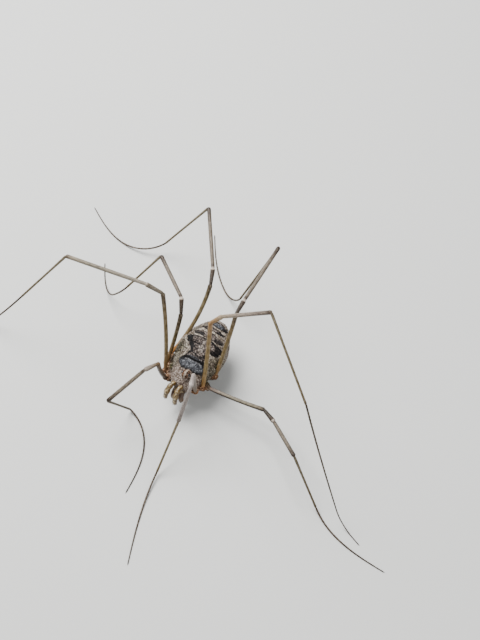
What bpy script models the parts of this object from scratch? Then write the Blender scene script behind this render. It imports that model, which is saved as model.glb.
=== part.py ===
"""A female harvestman, life size, standing on eight legs with its second pair raised as feelers.

Every length is in millimetres until to_metres brings the finished pieces to metres.
A place on the animal is told as ahead of the body's middle, towards its left, and up from the floor.
A direction is told as a bearing, in degrees outward from straight ahead, and a rise above level.
The head points along -Y and the animal's left is +X.
"""

import math

import bmesh
import bpy
from mathutils import Matrix, Vector

MM = 0.001
GAP = 0.3
EYE_GAP = 0.08
WELD = 0.0005
LEAST_LEFT = {"UNION": 0.999, "DIFFERENCE": 0.3}

# The body leans to its left and its hind end trails a little that way
BODY_LEFT = 0.08
BODY_ROLL = 7.0
ROLL_AXIS_UP = 2.8
HIND_DRIFT = 0.03
DRIFT_STARTS = 2.0
BODY_REAR = -4.4
BODY_FRONT = 4.05
BODY_SIDES = 32
BODY_RINGS = 44
FRONT_BLUNT = 4.5
REAR_BLUNT = 2.4
SECTION_POWER = 0.92

# Ahead of the middle, then half the width, the top and the underside
BODY_STATIONS = (
    (-4.4, 1.72, 4.35, 2.4),
    (-3.0, 2.1, 5.05, 1.7),
    (-1.5, 2.45, 5.45, 1.35),
    (-0.4, 2.52, 5.5, 1.3),
    (0.6, 2.45, 5.3, 1.3),
    (1.5, 2.15, 5.0, 1.4),
    (2.3, 1.82, 4.75, 1.55),
    (3.2, 1.58, 4.4, 1.75),
    (4.05, 1.4, 3.95, 2.15),
)

# The furrows between the rings of the hind body
FURROWS_AHEAD = (-3.75, -3.2, -2.6, -1.9, -1.1, -0.2, 0.7, 1.5)
FURROW_DEPTH = 0.05
FURROW_HALF_WIDTH = 0.12

# The slanting line where the shield ends above and the hind body begins
WAIST_AHEAD = 1.05
WAIST_SLANT = 32.0

OCULARIUM = {"ahead": 3.0, "half_width": 0.42, "half_length": 0.5, "height": 0.6, "sink": 0.4}
EYE = {"radius": 0.19, "side": 0.31, "above": 0.27, "ahead": 0.04}
MOUND_POINTS = {"rows": 3, "side": 0.13, "spacing": 0.26, "radius": 0.07, "height": 0.16, "sink": 0.1}

# The palps are swung to the right, about a place under the front of the shield
PALP_SWING = {"left": -6.0, "right": -13.0}
PALP_PIVOT = (3.75, -0.09)
PALP = {
    "points": (
        (3.0, 0.4, 2.8),
        (3.8, 0.4, 3.3),
        (4.12, 0.4, 3.56),
        (4.44, 0.41, 3.64),
        (4.78, 0.43, 3.48),
        (5.04, 0.46, 3.1),
        (5.22, 0.48, 2.66),
        (5.28, 0.5, 2.24),
        (5.22, 0.5, 1.9),
    ),
    "radius": (0.24, 0.24, 0.25, 0.27, 0.28, 0.28, 0.25, 0.21, 0.12),
}
CHELICERA_MIDDLE = 0.05
CHELICERA = {
    "stalk": ((3.0, 0.37, 2.5), (3.9, 0.37, 2.58), (4.3, 0.39, 2.54)),
    "stalk_radius": (0.25, 0.25, 0.25),
    "hand": ((4.28, 0.39, 2.54), (4.5, 0.42, 2.26), (4.53, 0.45, 1.7), (4.46, 0.43, 1.2)),
    "hand_radius": (0.25, 0.29, 0.28, 0.2),
    "finger": ((4.5, 0.41, 1.35), (4.5, 0.37, 1.05), (4.42, 0.31, 0.85)),
    "thumb": ((4.5, 0.41, 1.35), (4.3, 0.39, 1.1), (4.3, 0.34, 0.88)),
    "finger_radius": (0.17, 0.12, 0.06),
}

# Thigh, knee piece, shin, long foot piece and many-jointed foot of each pair
LEG_LENGTHS = {
    1: (5.8, 1.4, 5.0, 5.7, 9.5),
    2: (9.8, 1.9, 8.3, 8.8, 18.5),
    3: (6.4, 1.6, 5.2, 6.2, 9.0),
    4: (8.6, 1.7, 6.9, 9.4, 11.0),
}
SEGMENTS = ("femur", "patella", "tibia", "metatarsus", "tarsus")
SEGMENT_RADII = {
    "femur": (0.29, 0.27, 0.3),
    "patella": (0.27, 0.28, 0.31),
    "tibia": (0.28, 0.26, 0.28),
    "metatarsus": (0.25, 0.25, 0.25),
    "tarsus": (0.25, 0.25, 0.24, 0.1),
}
TUBE_ROUNDNESS = 2

# Each hip ends in a knob, the trochanter, that the thigh turns on. The hips lean a little to the right
HIPS_LEFT = -0.12
LEG_ROOTS = {
    1: (3.45, 1.7, 2.8),
    2: (2.75, 2.15, 2.7),
    3: (1.95, 2.45, 2.65),
    4: (1.05, 2.62, 2.75),
}
ROOT_SHIFTS = {("left", 3): (0.35, 0, -0.35)}  # this hip is held further forward and down
KNOB_RADIUS = 0.33
COXA_STARTS = {1: (2.6, 0.7, 2.1), 2: (2.1, 0.7, 2.0), 3: (1.7, 0.7, 2.0), 4: (1.3, 0.7, 2.0)}
COXA_SHARES = (0.0, 0.4, 0.75, 0.9)
COXA_RADII = (0.58, 0.54, 0.45, 0.38)

# Bearing and rise of each length, then the foot's first and last bearing and its first rise
POSE = {
    ("left", 1): ((28, 78.5), (19, 11), (-15, -67), (-2, -40), (4, 18, -20)),
    ("left", 2): ((-177, 77), (107, 54), (82, 49), (53.5, -35), (60, 66, -66)),
    ("left", 3): ((90, 9.5), (64.5, -1), (50, 21), (62, -50.5), (50, 85, -30)),
    ("left", 4): ((169, 67), (-179, 0), (178, 2), (-49, -65), (-105, -150, -60)),
    ("right", 1): ((-12, 74.7), (38, -8), (34, -33), (-161, -65), (-74, -2, -20)),
    ("right", 2): ((154, 69.5), (79.5, 29), (83, 2), (58.5, -53), (58, 80, -53)),
    ("right", 3): ((-173.5, 63.5), (154, 31), (128, 2), (52, -52), (60, 150, -55)),
    ("right", 4): ((-166.5, 42.5), (160, 14), (148, 5.5), (73.5, -58.5), (45, 125, -30)),
}
FEMUR_SAG = 0.2
INWARD_BOWS = {("right", 2): 0.2, ("right", 4): 0.42}
FEMUR_STEPS = 4
FOOT_STEP = 0.6
SOLE_DEPTH = 0.04
LANDING_HEIGHT = 2.0
RUN_PAST_JOINT = 0.9

COLOURS = {
    "shield": (0.30, 0.25, 0.21),
    "hind_body": (0.27, 0.24, 0.22),
    "eye": (0.01, 0.01, 0.012),
    "mouthparts": (0.45, 0.3, 0.12),
    "femur": (0.34, 0.22, 0.09),
    "patella": (0.1, 0.07, 0.05),
    "tibia": (0.32, 0.25, 0.19),
    "metatarsus": (0.3, 0.23, 0.12),
    "tarsus": (0.13, 0.09, 0.06),
}


def side_sign(side):
    return 1 if side == "left" else -1


def place(ahead, left, up):
    return Vector((left, -ahead, up))


def heading(side, bearing, rise):
    b = math.radians(bearing)
    r = math.radians(rise)
    return place(math.cos(b) * math.cos(r), side_sign(side) * math.sin(b) * math.cos(r), math.sin(r))


def between(stations, x):
    """The values at x of a smooth line through the stations, whose first number is their place."""
    for low, high in zip(stations, stations[1:]):
        if x <= high[0]:
            break
    t = min(max((x - low[0]) / (high[0] - low[0]), 0.0), 1.0)
    before = stations[max(stations.index(low) - 1, 0)]
    after = stations[min(stations.index(high) + 1, len(stations) - 1)]
    span = high[0] - low[0]
    values = []
    for i in range(1, len(low)):
        slope_low = (high[i] - before[i]) / (high[0] - before[0]) * span
        slope_high = (after[i] - low[i]) / (after[0] - low[0]) * span
        a = 2 * t**3 - 3 * t**2 + 1
        b = t**3 - 2 * t**2 + t
        c = 3 * t**2 - 2 * t**3
        d = t**3 - t**2
        values.append(a * low[i] + b * slope_low + c * high[i] + d * slope_high)
    return values


def collection_named(name, hidden=False):
    made = bpy.data.collections.new(name)
    made.hide_render = hidden
    bpy.context.scene.collection.children.link(made)
    return made


def finish_material(name, colour, roughness=0.6):
    made = bpy.data.materials.new(name)
    made.use_nodes = True
    shader = made.node_tree.nodes["Principled BSDF"]
    shader.inputs["Base Color"].default_value = (*colour, 1.0)
    shader.inputs["Roughness"].default_value = roughness
    shader.inputs["Metallic"].default_value = 0.0
    return made


def object_of(name, bm, collection, material=None):
    mesh = bpy.data.meshes.new(name)
    bm.to_mesh(mesh)
    bm.free()
    made = bpy.data.objects.new(name, mesh)
    if material:
        mesh.materials.append(material)
    collection.objects.link(made)
    return made


def mesh_copy(obj):
    bm = bmesh.new()
    bm.from_mesh(obj.data)
    return bm


def refill(obj, bm):
    bm.to_mesh(obj.data)
    bm.free()


def face_outward(bm):
    bmesh.ops.recalc_face_normals(bm, faces=bm.faces)
    if bm.calc_volume(signed=True) < 0:
        bmesh.ops.reverse_faces(bm, faces=bm.faces)


def volume_of(mesh):
    bm = bmesh.new()
    bm.from_mesh(mesh)
    held = bm.calc_volume(signed=True)
    bm.free()
    return held


def keep_largest(obj):
    """Drops every closed surface of the object but the one that holds the most."""
    bm = mesh_copy(obj)
    left = set(bm.faces)
    islands = []
    while left:
        stack = [left.pop()]
        island = []
        while stack:
            face = stack.pop()
            island.append(face)
            for edge in face.edges:
                for other in edge.link_faces:
                    if other in left:
                        left.remove(other)
                        stack.append(other)
        held = sum(face.calc_center_median().dot(face.normal) * face.calc_area() for face in island)
        islands.append((held, island))
    islands.sort(key=lambda entry: entry[0])
    loose = [face for held, island in islands[:-1] for face in island]
    bmesh.ops.delete(bm, geom=loose, context="FACES")
    refill(obj, bm)


def boolean(obj, other, operation, solver):
    """The mesh that the Boolean leaves, and what it holds."""
    cut = obj.modifiers.new("combine", "BOOLEAN")
    cut.operation = operation
    cut.object = other
    cut.solver = solver
    bpy.context.view_layer.update()
    evaluated = obj.evaluated_get(bpy.context.evaluated_depsgraph_get())
    mesh = bpy.data.meshes.new_from_object(evaluated)
    obj.modifiers.clear()
    return mesh, volume_of(mesh)


def combine(obj, others, operation):
    """Applies one Boolean with each of the other objects, which it then removes."""
    for other in others:
        before = volume_of(obj.data)
        mesh, after = boolean(obj, other, operation, "EXACT")
        if after < before * LEAST_LEFT[operation]:
            mesh, after = boolean(obj, other, operation, "MANIFOLD")
        obj.data = mesh
        bpy.data.objects.remove(other)
    bm = mesh_copy(obj)
    bmesh.ops.remove_doubles(bm, verts=bm.verts, dist=WELD)
    bmesh.ops.dissolve_degenerate(bm, edges=bm.edges, dist=WELD)
    bmesh.ops.triangulate(bm, faces=bm.faces)
    refill(obj, bm)
    keep_largest(obj)


def cut_off(bm, point, normal):
    """Takes away what lies past the plane, on the side its normal points to, and closes the cut."""
    geometry = bm.verts[:] + bm.edges[:] + bm.faces[:]
    cut = bmesh.ops.bisect_plane(
        bm, geom=geometry, dist=WELD, plane_co=point, plane_no=normal, clear_outer=True
    )
    edges = [g for g in cut["geom_cut"] if isinstance(g, bmesh.types.BMEdge)]
    bmesh.ops.holes_fill(bm, edges=edges, sides=0)


def tube(points, radii, collection):
    """A round bar along the points, as closed mesh with its ends welded on."""
    curve = bpy.data.curves.new("bar", "CURVE")
    curve.dimensions = "3D"
    curve.bevel_depth = 1.0
    curve.bevel_resolution = TUBE_ROUNDNESS
    curve.use_fill_caps = True
    line = curve.splines.new("POLY")
    line.points.add(len(points) - 1)
    for spot, point, radius in zip(line.points, points, radii):
        spot.co = (*point, 1.0)
        spot.radius = radius
    bar = bpy.data.objects.new("bar", curve)
    collection.objects.link(bar)
    bpy.context.view_layer.update()
    evaluated = bar.evaluated_get(bpy.context.evaluated_depsgraph_get())
    mesh = bpy.data.meshes.new_from_object(evaluated)
    bm = bmesh.new()
    bm.from_mesh(mesh)
    bmesh.ops.remove_doubles(bm, verts=bm.verts, dist=WELD)
    face_outward(bm)
    bpy.data.objects.remove(bar)
    bpy.data.curves.remove(curve)
    bpy.data.meshes.remove(mesh)
    return bm


def spread(values, count):
    """The values drawn out evenly to the count given."""
    drawn = []
    for i in range(count):
        t = i / (count - 1) * (len(values) - 1)
        low = min(int(t), len(values) - 2)
        drawn.append(values[low] + (values[low + 1] - values[low]) * (t - low))
    return drawn


def rolled(point):
    """A place on the upright body, moved to where the leaning body has it."""
    pivot = place(0, 0, ROLL_AXIS_UP)
    turn = Matrix.Rotation(math.radians(BODY_ROLL), 3, "Y")
    drift = HIND_DRIFT * max(DRIFT_STARTS + point.y, 0.0)
    return turn @ (point - pivot) + pivot + place(0, BODY_LEFT + drift, 0)


def body_surface(grow=0.0):
    """The whole body's skin from a sphere, with its poles at the two ends of the body."""
    bm = bmesh.new()
    bmesh.ops.create_uvsphere(bm, u_segments=BODY_SIDES, v_segments=BODY_RINGS, radius=1.0)
    for vert in bm.verts:
        along = max(min(vert.co.z, 1.0), -1.0)
        even = 0.5 * along + 0.5 * math.asin(along) / (math.pi / 2)
        ahead = BODY_REAR + (BODY_FRONT - BODY_REAR) * (even + 1) / 2
        width, top, under = between(BODY_STATIONS, ahead)
        blunt = FRONT_BLUNT if even > 0 else REAR_BLUNT
        close = max(1 - abs(even) ** blunt, 0.0) ** (1 / blunt)
        for furrow in FURROWS_AHEAD:
            close -= FURROW_DEPTH / width * math.exp(-(((ahead - furrow) / FURROW_HALF_WIDTH) ** 2))
        close = max(close, 0.0)
        around = math.atan2(vert.co.y, vert.co.x)
        across = math.copysign(abs(math.cos(around)) ** SECTION_POWER, math.cos(around))
        upward = math.copysign(abs(math.sin(around)) ** SECTION_POWER, math.sin(around))
        middle = under + 0.46 * (top - under)
        reach = top - middle if upward > 0 else middle - under
        at_pole = math.hypot(vert.co.x, vert.co.y) < 0.001
        left = 0.0 if at_pole else across * (width * close + grow)
        up = middle if at_pole else middle + upward * (reach * close + grow)
        vert.co = rolled(place(ahead + grow * even, left, up))
    face_outward(bm)
    return bm


def ball(centre, radius, segments=14, rings=9):
    bm = bmesh.new()
    bmesh.ops.create_uvsphere(bm, u_segments=segments, v_segments=rings, radius=radius)
    bmesh.ops.translate(bm, vec=centre, verts=bm.verts)
    return bm


def sided(side, spot):
    ahead, left, up = spot
    return place(ahead, side_sign(side) * left, up)


def leg_root(side, pair):
    shift = place(*ROOT_SHIFTS.get((side, pair), (0, 0, 0)))
    return sided(side, LEG_ROOTS[pair]) + place(0, HIPS_LEFT, 0) + shift


def hip(side, pair, grow=0.0):
    """A coxa that tapers out from under the shield, and the knob on its end."""
    root = leg_root(side, pair)
    start = sided(side, COXA_STARTS[pair]) + place(0, HIPS_LEFT, 0)
    start -= (root - start).normalized() * grow
    points = [start.lerp(root, t) for t in COXA_SHARES]
    bar = tube(points, [r + grow for r in COXA_RADII], HELPERS)
    knob = ball(root, KNOB_RADIUS + grow)
    return [object_of("coxa", bar, HELPERS), object_of("knob", knob, HELPERS)]


def hips(grow=0.0):
    return [piece for side, pair in POSE for piece in hip(side, pair, grow)]


def waist_cut(bm, hind):
    """Leaves the half of the body before or behind the slanting line, half a gap short of it."""
    slant = math.radians(WAIST_SLANT)
    way = place(math.cos(slant), 0, -math.sin(slant)) * (1 if hind else -1)
    cut_off(bm, place(WAIST_AHEAD, 0, ROLL_AXIS_UP) - way * GAP / 2, way)
    face_outward(bm)
    return bm


def mound_surface():
    """The eye mound, an egg set a little into the shield."""
    bm = bmesh.new()
    bmesh.ops.create_uvsphere(bm, u_segments=20, v_segments=12, radius=1.0)
    top = between(BODY_STATIONS, OCULARIUM["ahead"])[1]
    for vert in bm.verts:
        left = vert.co.x * OCULARIUM["half_width"]
        ahead = OCULARIUM["ahead"] - vert.co.y * OCULARIUM["half_length"]
        rise = OCULARIUM["height"] if vert.co.z > 0 else OCULARIUM["sink"]
        vert.co = rolled(place(ahead, left, top + vert.co.z * rise))
    face_outward(bm)
    return bm


def mound_points():
    """Two short rows of blunt cones along the top of the mound."""
    top = between(BODY_STATIONS, OCULARIUM["ahead"])[1]
    made = []
    for side in ("left", "right"):
        for row in range(MOUND_POINTS["rows"]):
            bm = bmesh.new()
            depth = MOUND_POINTS["height"] + MOUND_POINTS["sink"]
            base = MOUND_POINTS["radius"]
            bmesh.ops.create_cone(bm, cap_ends=True, segments=7, radius1=base, radius2=0.02, depth=depth)
            along = (row - (MOUND_POINTS["rows"] - 1) / 2) * MOUND_POINTS["spacing"]
            across = side_sign(side) * MOUND_POINTS["side"]
            high = 1 - (along / OCULARIUM["half_length"]) ** 2 - (across / OCULARIUM["half_width"]) ** 2
            up = top + OCULARIUM["height"] * math.sqrt(high) + depth / 2 - MOUND_POINTS["sink"]
            bmesh.ops.translate(bm, vec=place(OCULARIUM["ahead"] + along, across, up), verts=bm.verts)
            for vert in bm.verts:
                vert.co = rolled(vert.co)
            face_outward(bm)
            made.append(object_of("mound_point", bm, HELPERS))
    return made


def eye_centre(side):
    top = between(BODY_STATIONS, OCULARIUM["ahead"])[1]
    ahead = OCULARIUM["ahead"] + EYE["ahead"]
    return rolled(place(ahead, side_sign(side) * EYE["side"], top + EYE["above"]))


def body(finishes):
    """Shield, mound and hips as one piece, and the hind body behind it, shaped round the hips."""
    shield = object_of("prosoma", waist_cut(body_surface(), False), PARTS, finishes["shield"])
    mound = object_of("mound", mound_surface(), HELPERS)
    combine(shield, [mound, *mound_points(), *hips()], "UNION")
    hind = object_of("opisthosoma", waist_cut(body_surface(), True), PARTS, finishes["hind_body"])
    combine(hind, [*hips(GAP), *(thigh_bed(side, pair) for side, pair in POSE)], "DIFFERENCE")
    combine(shield, [thigh_bed(side, pair) for side, pair in POSE], "DIFFERENCE")
    for side in ("left", "right"):
        socket = object_of("socket", ball(eye_centre(side), EYE["radius"] + EYE_GAP, 14, 10), HELPERS)
        combine(shield, [socket], "DIFFERENCE")
        eye = object_of("eye_" + side, ball(eye_centre(side), EYE["radius"], 14, 10), PARTS, finishes["eye"])
        seat(eye, eye_centre(side), heading(side, 90, 0), BODY_EMPTY)
    seat(shield, place(0, 0, 0), place(0, 0, 1), BODY_EMPTY)
    seat(hind, place(0, 0, 0), place(0, 0, 1), BODY_EMPTY)


def palp_point(side, spot):
    """A place on a palp, swung with its pair."""
    ahead, left, up = spot
    turn = math.radians(PALP_SWING[side])
    pivot_ahead, pivot_left = PALP_PIVOT
    forward = ahead - pivot_ahead
    across = side_sign(side) * left
    swung_ahead = pivot_ahead + forward * math.cos(turn) - across * math.sin(turn)
    swung_left = pivot_left + forward * math.sin(turn) + across * math.cos(turn)
    return place(swung_ahead, swung_left, up)


def jaw_piece(side, name, radii):
    points = [sided(side, spot) + place(0, CHELICERA_MIDDLE, 0) for spot in CHELICERA[name]]
    return object_of(name, tube(points, CHELICERA[radii], HELPERS), HELPERS)


def mouthparts(finish):
    """Each palp and each chelicera, cut off a gap short of the front of the shield."""
    for side in ("left", "right"):
        points = [palp_point(side, spot) for spot in PALP["points"]]
        palp = object_of("pedipalp_" + side, tube(points, PALP["radius"], HELPERS), PARTS, finish)
        jaw = jaw_piece(side, "stalk", "stalk_radius")
        fingers = [jaw_piece(side, name, "finger_radius") for name in ("finger", "thumb")]
        combine(jaw, [jaw_piece(side, "hand", "hand_radius"), *fingers], "UNION")
        chelicera = object_of("chelicera_" + side, mesh_copy(jaw), PARTS, finish)
        bpy.data.objects.remove(jaw)
        for piece, spot in ((palp, points[1]), (chelicera, sided(side, CHELICERA["stalk"][1]))):
            bed = object_of("bed", body_surface(GAP), HELPERS)
            combine(piece, [bed, *hip("left", 1, GAP), *hip("right", 1, GAP)], "DIFFERENCE")
            seat(piece, spot, place(1, 0, 0), BODY_EMPTY)


def thigh_path(side, pair):
    """Points along a thigh from the middle of its knob, sagging a little below the straight line."""
    start = leg_root(side, pair)
    bearing, rise = POSE[side, pair][0]
    way = heading(side, bearing, rise)
    below = (way * way.z - Vector((0, 0, 1))).normalized()
    inward = sided(side, (0, -INWARD_BOWS.get((side, pair), 0), 0))
    bow = below * FEMUR_SAG + inward
    points = []
    for i in range(FEMUR_STEPS + 1):
        t = i / FEMUR_STEPS
        points.append(start + way * LEG_LENGTHS[pair][0] * t + bow * 4 * t * (1 - t))
    return points


def thigh_bed(side, pair):
    """A bar one gap wider than the thigh, from its knob outward, to cut the bed that it lies in."""
    path = thigh_path(side, pair)
    way = (path[1] - path[0]).normalized()
    path[0] += way * KNOB_RADIUS * 1.05
    radii = [r + GAP for r in spread(SEGMENT_RADII["femur"], len(path))]
    return object_of("thigh_bed", tube(path, radii, HELPERS), HELPERS)


def foot_path(side, start, turns, length):
    """The many-jointed foot: straight down to its landing height, then eased onto the floor."""
    first, last, rise = turns
    steps = round(length / FOOT_STEP)
    points = [start]
    for i, radius in enumerate(spread(SEGMENT_RADII["tarsus"], steps + 1)[1:]):
        rest = radius - SOLE_DEPTH
        height = max(points[-1].z - rest, 0.0)
        ease = math.sqrt(min(height / LANDING_HEIGHT, 1.0))
        bearing = first + (last - first) * math.sin((i + 0.5) / steps * math.pi / 2)
        point = points[-1] + heading(side, bearing, rise * ease) * length / steps
        point.z = max(point.z, rest)
        points.append(point)
    return points


def leg_paths(side, pair):
    """The points along each length of the leg, thigh first and foot last."""
    paths = [thigh_path(side, pair)]
    for turn, length in list(zip(POSE[side, pair], LEG_LENGTHS[pair]))[1:4]:
        point = paths[-1][-1]
        end = point + heading(side, *turn) * length
        paths.append([point.lerp(end, t) for t in (0.0, 0.5, 1.0)])
    paths.append(foot_path(side, paths[-1][-1], POSE[side, pair][4], LEG_LENGTHS[pair][4]))
    return paths


def leg(side, pair, finishes):
    """The leg's five lengths, each cut square to the bend that it shares with the next."""
    paths = leg_paths(side, pair)
    ways = [((p[1] - p[0]).normalized(), (p[-1] - p[-2]).normalized()) for p in paths]
    facings = [ways[0][0]]
    facings += [(this[1] + following[0]).normalized() for this, following in zip(ways, ways[1:])]
    root = empty(f"leg_{side}_{pair}", paths[0][0], BODY_EMPTY)
    for index, (name, path) in enumerate(zip(SEGMENTS, paths)):
        points = [path[0] - ways[index][0] * RUN_PAST_JOINT, *path]
        radii = spread(SEGMENT_RADII[name], len(path))
        radii = [radii[0], *radii]
        if name != "tarsus":
            points.append(path[-1] + ways[index][1] * RUN_PAST_JOINT)
            radii.append(radii[-1])
        bm = tube(points, radii, HELPERS)
        back = GAP / 2 if index else KNOB_RADIUS + GAP
        cut_off(bm, path[0] + facings[index] * back, -facings[index])
        if name != "tarsus":
            cut_off(bm, path[-1] - facings[index + 1] * GAP / 2, facings[index + 1])
        else:
            cut_off(bm, Vector((0, 0, 0)), Vector((0, 0, -1)))
        face_outward(bm)
        piece = object_of(f"leg_{side}_{pair}_{name}", bm, PARTS, finishes[name])
        seat(piece, path[0], ways[index][0], root)


def empty(name, spot, parent=None):
    made = bpy.data.objects.new(name, None)
    made.parent = parent
    made.location = spot - (parent.location if parent else Vector())
    PARTS.objects.link(made)
    return made


def spot_of(obj):
    """Where an empty stands, counted up through its parents."""
    return obj.location + (spot_of(obj.parent) if obj.parent else Vector())


def seat(piece, joint, way, parent):
    """Moves the piece's origin to its joint, with its own Z along it, and hangs it on its parent."""
    turn = way.to_track_quat("Z", "Y").to_matrix().to_4x4()
    piece.data.transform((Matrix.Translation(joint) @ turn).inverted())
    piece.parent = parent
    piece.location = joint - spot_of(parent)
    piece.rotation_euler = turn.to_euler()


def to_metres():
    """Brings everything to metres, with the origin on the floor under the whole animal's middle."""
    bpy.context.view_layer.update()
    pieces = [obj for obj in PARTS.objects if obj.type == "MESH"]
    corners = [obj.matrix_world @ v.co for obj in pieces for v in obj.data.vertices]
    middle_x = (min(c.x for c in corners) + max(c.x for c in corners)) / 2
    middle_y = (min(c.y for c in corners) + max(c.y for c in corners)) / 2
    BODY_EMPTY.location = Vector((-middle_x, -middle_y, 0.0))
    for obj in PARTS.objects:
        obj.location *= MM
    for obj in pieces:
        obj.data.transform(Matrix.Scale(MM, 4))
        obj.data.shade_smooth()
        obj.data.set_sharp_from_angle(angle=math.radians(40))
    bpy.context.view_layer.update()


for old in list(bpy.data.objects):
    bpy.data.objects.remove(old)
PARTS = collection_named("harvestman")
HELPERS = collection_named("helpers", hidden=True)
FINISHES = {name: finish_material(name, colour) for name, colour in COLOURS.items()}
BODY_EMPTY = empty("body_middle", Vector())
body(FINISHES)
mouthparts(FINISHES["mouthparts"])
for leg_side, leg_pair in POSE:
    leg(leg_side, leg_pair, FINISHES)
to_metres()
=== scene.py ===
# A female harvestman, life size, standing on the floor with its second pair of legs raised
# Pieces are shaped in millimetres and brought to metres as each one is finished
import math
import random

import bpy
from mathutils import Matrix, Vector, noise
from mathutils.kdtree import KDTree


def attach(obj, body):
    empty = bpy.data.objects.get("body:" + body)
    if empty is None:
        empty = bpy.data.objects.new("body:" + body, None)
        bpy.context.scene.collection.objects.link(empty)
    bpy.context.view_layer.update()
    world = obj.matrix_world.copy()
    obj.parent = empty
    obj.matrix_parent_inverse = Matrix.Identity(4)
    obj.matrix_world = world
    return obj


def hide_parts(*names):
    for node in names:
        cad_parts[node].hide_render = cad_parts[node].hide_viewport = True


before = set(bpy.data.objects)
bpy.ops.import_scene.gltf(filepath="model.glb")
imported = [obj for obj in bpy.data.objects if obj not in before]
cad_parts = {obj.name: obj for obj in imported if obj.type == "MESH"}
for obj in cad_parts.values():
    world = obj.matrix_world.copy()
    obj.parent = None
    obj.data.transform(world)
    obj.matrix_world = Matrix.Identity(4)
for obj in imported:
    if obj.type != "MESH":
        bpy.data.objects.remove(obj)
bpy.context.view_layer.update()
random.seed(11)
noise.seed_set(11)

pose = {
    "bodyMiddle": (3.7783, -2.9884),  # the body's middle, left and ahead of the middle of the floor that is covered
    "roll": 7.0,  # the body leans to its left
    "rollAxisUp": 2.8,
    "bodyLeft": 0.08,
    "hindDrift": 0.03,
    "driftStarts": 2.0,
}


def spot(ahead, left, up):  # a place told from the body's middle on the floor
    return Vector((left + pose["bodyMiddle"][0], -ahead - pose["bodyMiddle"][1], up))


def leaned(ahead, left, up):  # a place on the upright body, where the leaning body has it
    turn = Matrix.Rotation(math.radians(pose["roll"]), 3, "Y")
    pivot = spot(0, 0, pose["rollAxisUp"])
    drift = pose["hindDrift"] * max(pose["driftStarts"] - ahead, 0.0)
    return turn @ (spot(ahead, left, up) - pivot) + pivot + Vector((pose["bodyLeft"] + drift, 0, 0))


def upright(point):  # the way back: left, ahead and up on the upright body
    turn = Matrix.Rotation(math.radians(pose["roll"]), 3, "Y").inverted()
    pivot = spot(0, 0, pose["rollAxisUp"])
    ahead = -(point.y + pose["bodyMiddle"][1])
    drift = pose["hindDrift"] * max(pose["driftStarts"] - ahead, 0.0)
    flat = turn @ (point - Vector((pose["bodyLeft"] + drift, 0, 0)) - pivot) + pivot
    return Vector((flat.x - pose["bodyMiddle"][0], ahead, flat.z))


def sideSign(side):
    return 1 if side == "left" else -1


def between(stations, x):  # values at x on a smooth line through the stations
    for low, high in zip(stations, stations[1:]):
        if x <= high[0]:
            break
    span = high[0] - low[0]
    t = min(max((x - low[0]) / span, 0.0), 1.0)
    before = stations[max(stations.index(low) - 1, 0)]
    after = stations[min(stations.index(high) + 1, len(stations) - 1)]
    values = []
    for i in range(1, len(low)):
        rise = (high[i] - before[i]) / (high[0] - before[0]) * span
        fall = (after[i] - low[i]) / (after[0] - low[0]) * span
        a, b = 2 * t**3 - 3 * t**2 + 1, t**3 - 2 * t**2 + t
        values.append(a * low[i] + b * rise + (1 - a) * high[i] + (t**3 - t**2) * fall)
    return values


def spread(values, count):  # the values drawn out evenly to the count given
    drawn = []
    for i in range(count):
        t = i / (count - 1) * (len(values) - 1)
        low = min(int(t), len(values) - 2)
        drawn.append(values[low] + (values[low + 1] - values[low]) * (t - low))
    return drawn


# Working with objects and nodes


def selectOnly(*objects):
    if bpy.context.object and bpy.context.object.mode != "OBJECT":
        bpy.ops.object.mode_set(mode="OBJECT")
    bpy.ops.object.select_all(action="DESELECT")
    for obj in objects:
        obj.select_set(True)
    if objects:
        bpy.context.view_layer.objects.active = objects[0]


def applyModifiers(obj):
    selectOnly(obj)
    for modifier in list(obj.modifiers):
        bpy.ops.object.modifier_apply(modifier=modifier.name)


def joined(name, objects):
    selectOnly(*objects)
    if len(objects) > 1:
        bpy.ops.object.join()
    objects[0].name = name
    return objects[0]


def outward(obj):
    selectOnly(obj)
    bpy.ops.object.mode_set(mode="EDIT")
    bpy.ops.mesh.select_all(action="SELECT")
    bpy.ops.mesh.normals_make_consistent(inside=False)
    bpy.ops.object.mode_set(mode="OBJECT")


def finished(obj, material, slot, *nodes):  # to metres, with its material, and on its body
    selectOnly(obj)
    bpy.ops.object.transform_apply(location=True, rotation=True, scale=True)
    obj.scale = (0.001, 0.001, 0.001)
    bpy.ops.object.transform_apply(location=True, rotation=True, scale=True)
    obj.data.materials.clear()
    obj.data.materials.append(material)
    bpy.ops.object.shade_smooth()
    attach(obj, "root")
    if nodes:
        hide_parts(*nodes)
    return obj


def linear(hexColour):
    values = []
    for i in (1, 3, 5):
        c = int(hexColour[i : i + 2], 16) / 255
        values.append(c / 12.92 if c <= 0.04045 else ((c + 0.055) / 1.055) ** 2.4)
    return (*values, 1.0)


def addNode(tree, kind, inputs=None, **settings):  # a node, with its settings, and its inputs set or linked
    node = tree.nodes.new(kind)
    for name, value in settings.items():
        setattr(node, name, value)
    for key, value in (inputs or {}).items():
        if isinstance(value, bpy.types.NodeSocket):
            tree.links.new(value, node.inputs[key])
        else:
            node.inputs[key].default_value = value
    return node


def newMaterial(name, roughness, **fixed):
    material = bpy.data.materials.new(name)
    material.use_nodes = True
    tree = material.node_tree
    shader = tree.nodes["Principled BSDF"]
    shader.inputs["Roughness"].default_value = roughness
    for key, value in fixed.items():
        shader.inputs[key.replace("_", " ")].default_value = value
    return material, tree, shader


def setRamp(node, stops):  # stops are in order; a number stands for a grey
    ramp = node.color_ramp
    ends = [ramp.elements[0], ramp.elements[1]]
    ends[0].position, ends[1].position = stops[0][0], stops[-1][0]
    for place, colour in stops[1:-1]:
        ramp.elements.new(place)
    for element, (place, colour) in zip(ramp.elements, stops):
        element.color = linear(colour) if isinstance(colour, str) else (colour, colour, colour, 1)
    return node


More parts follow.
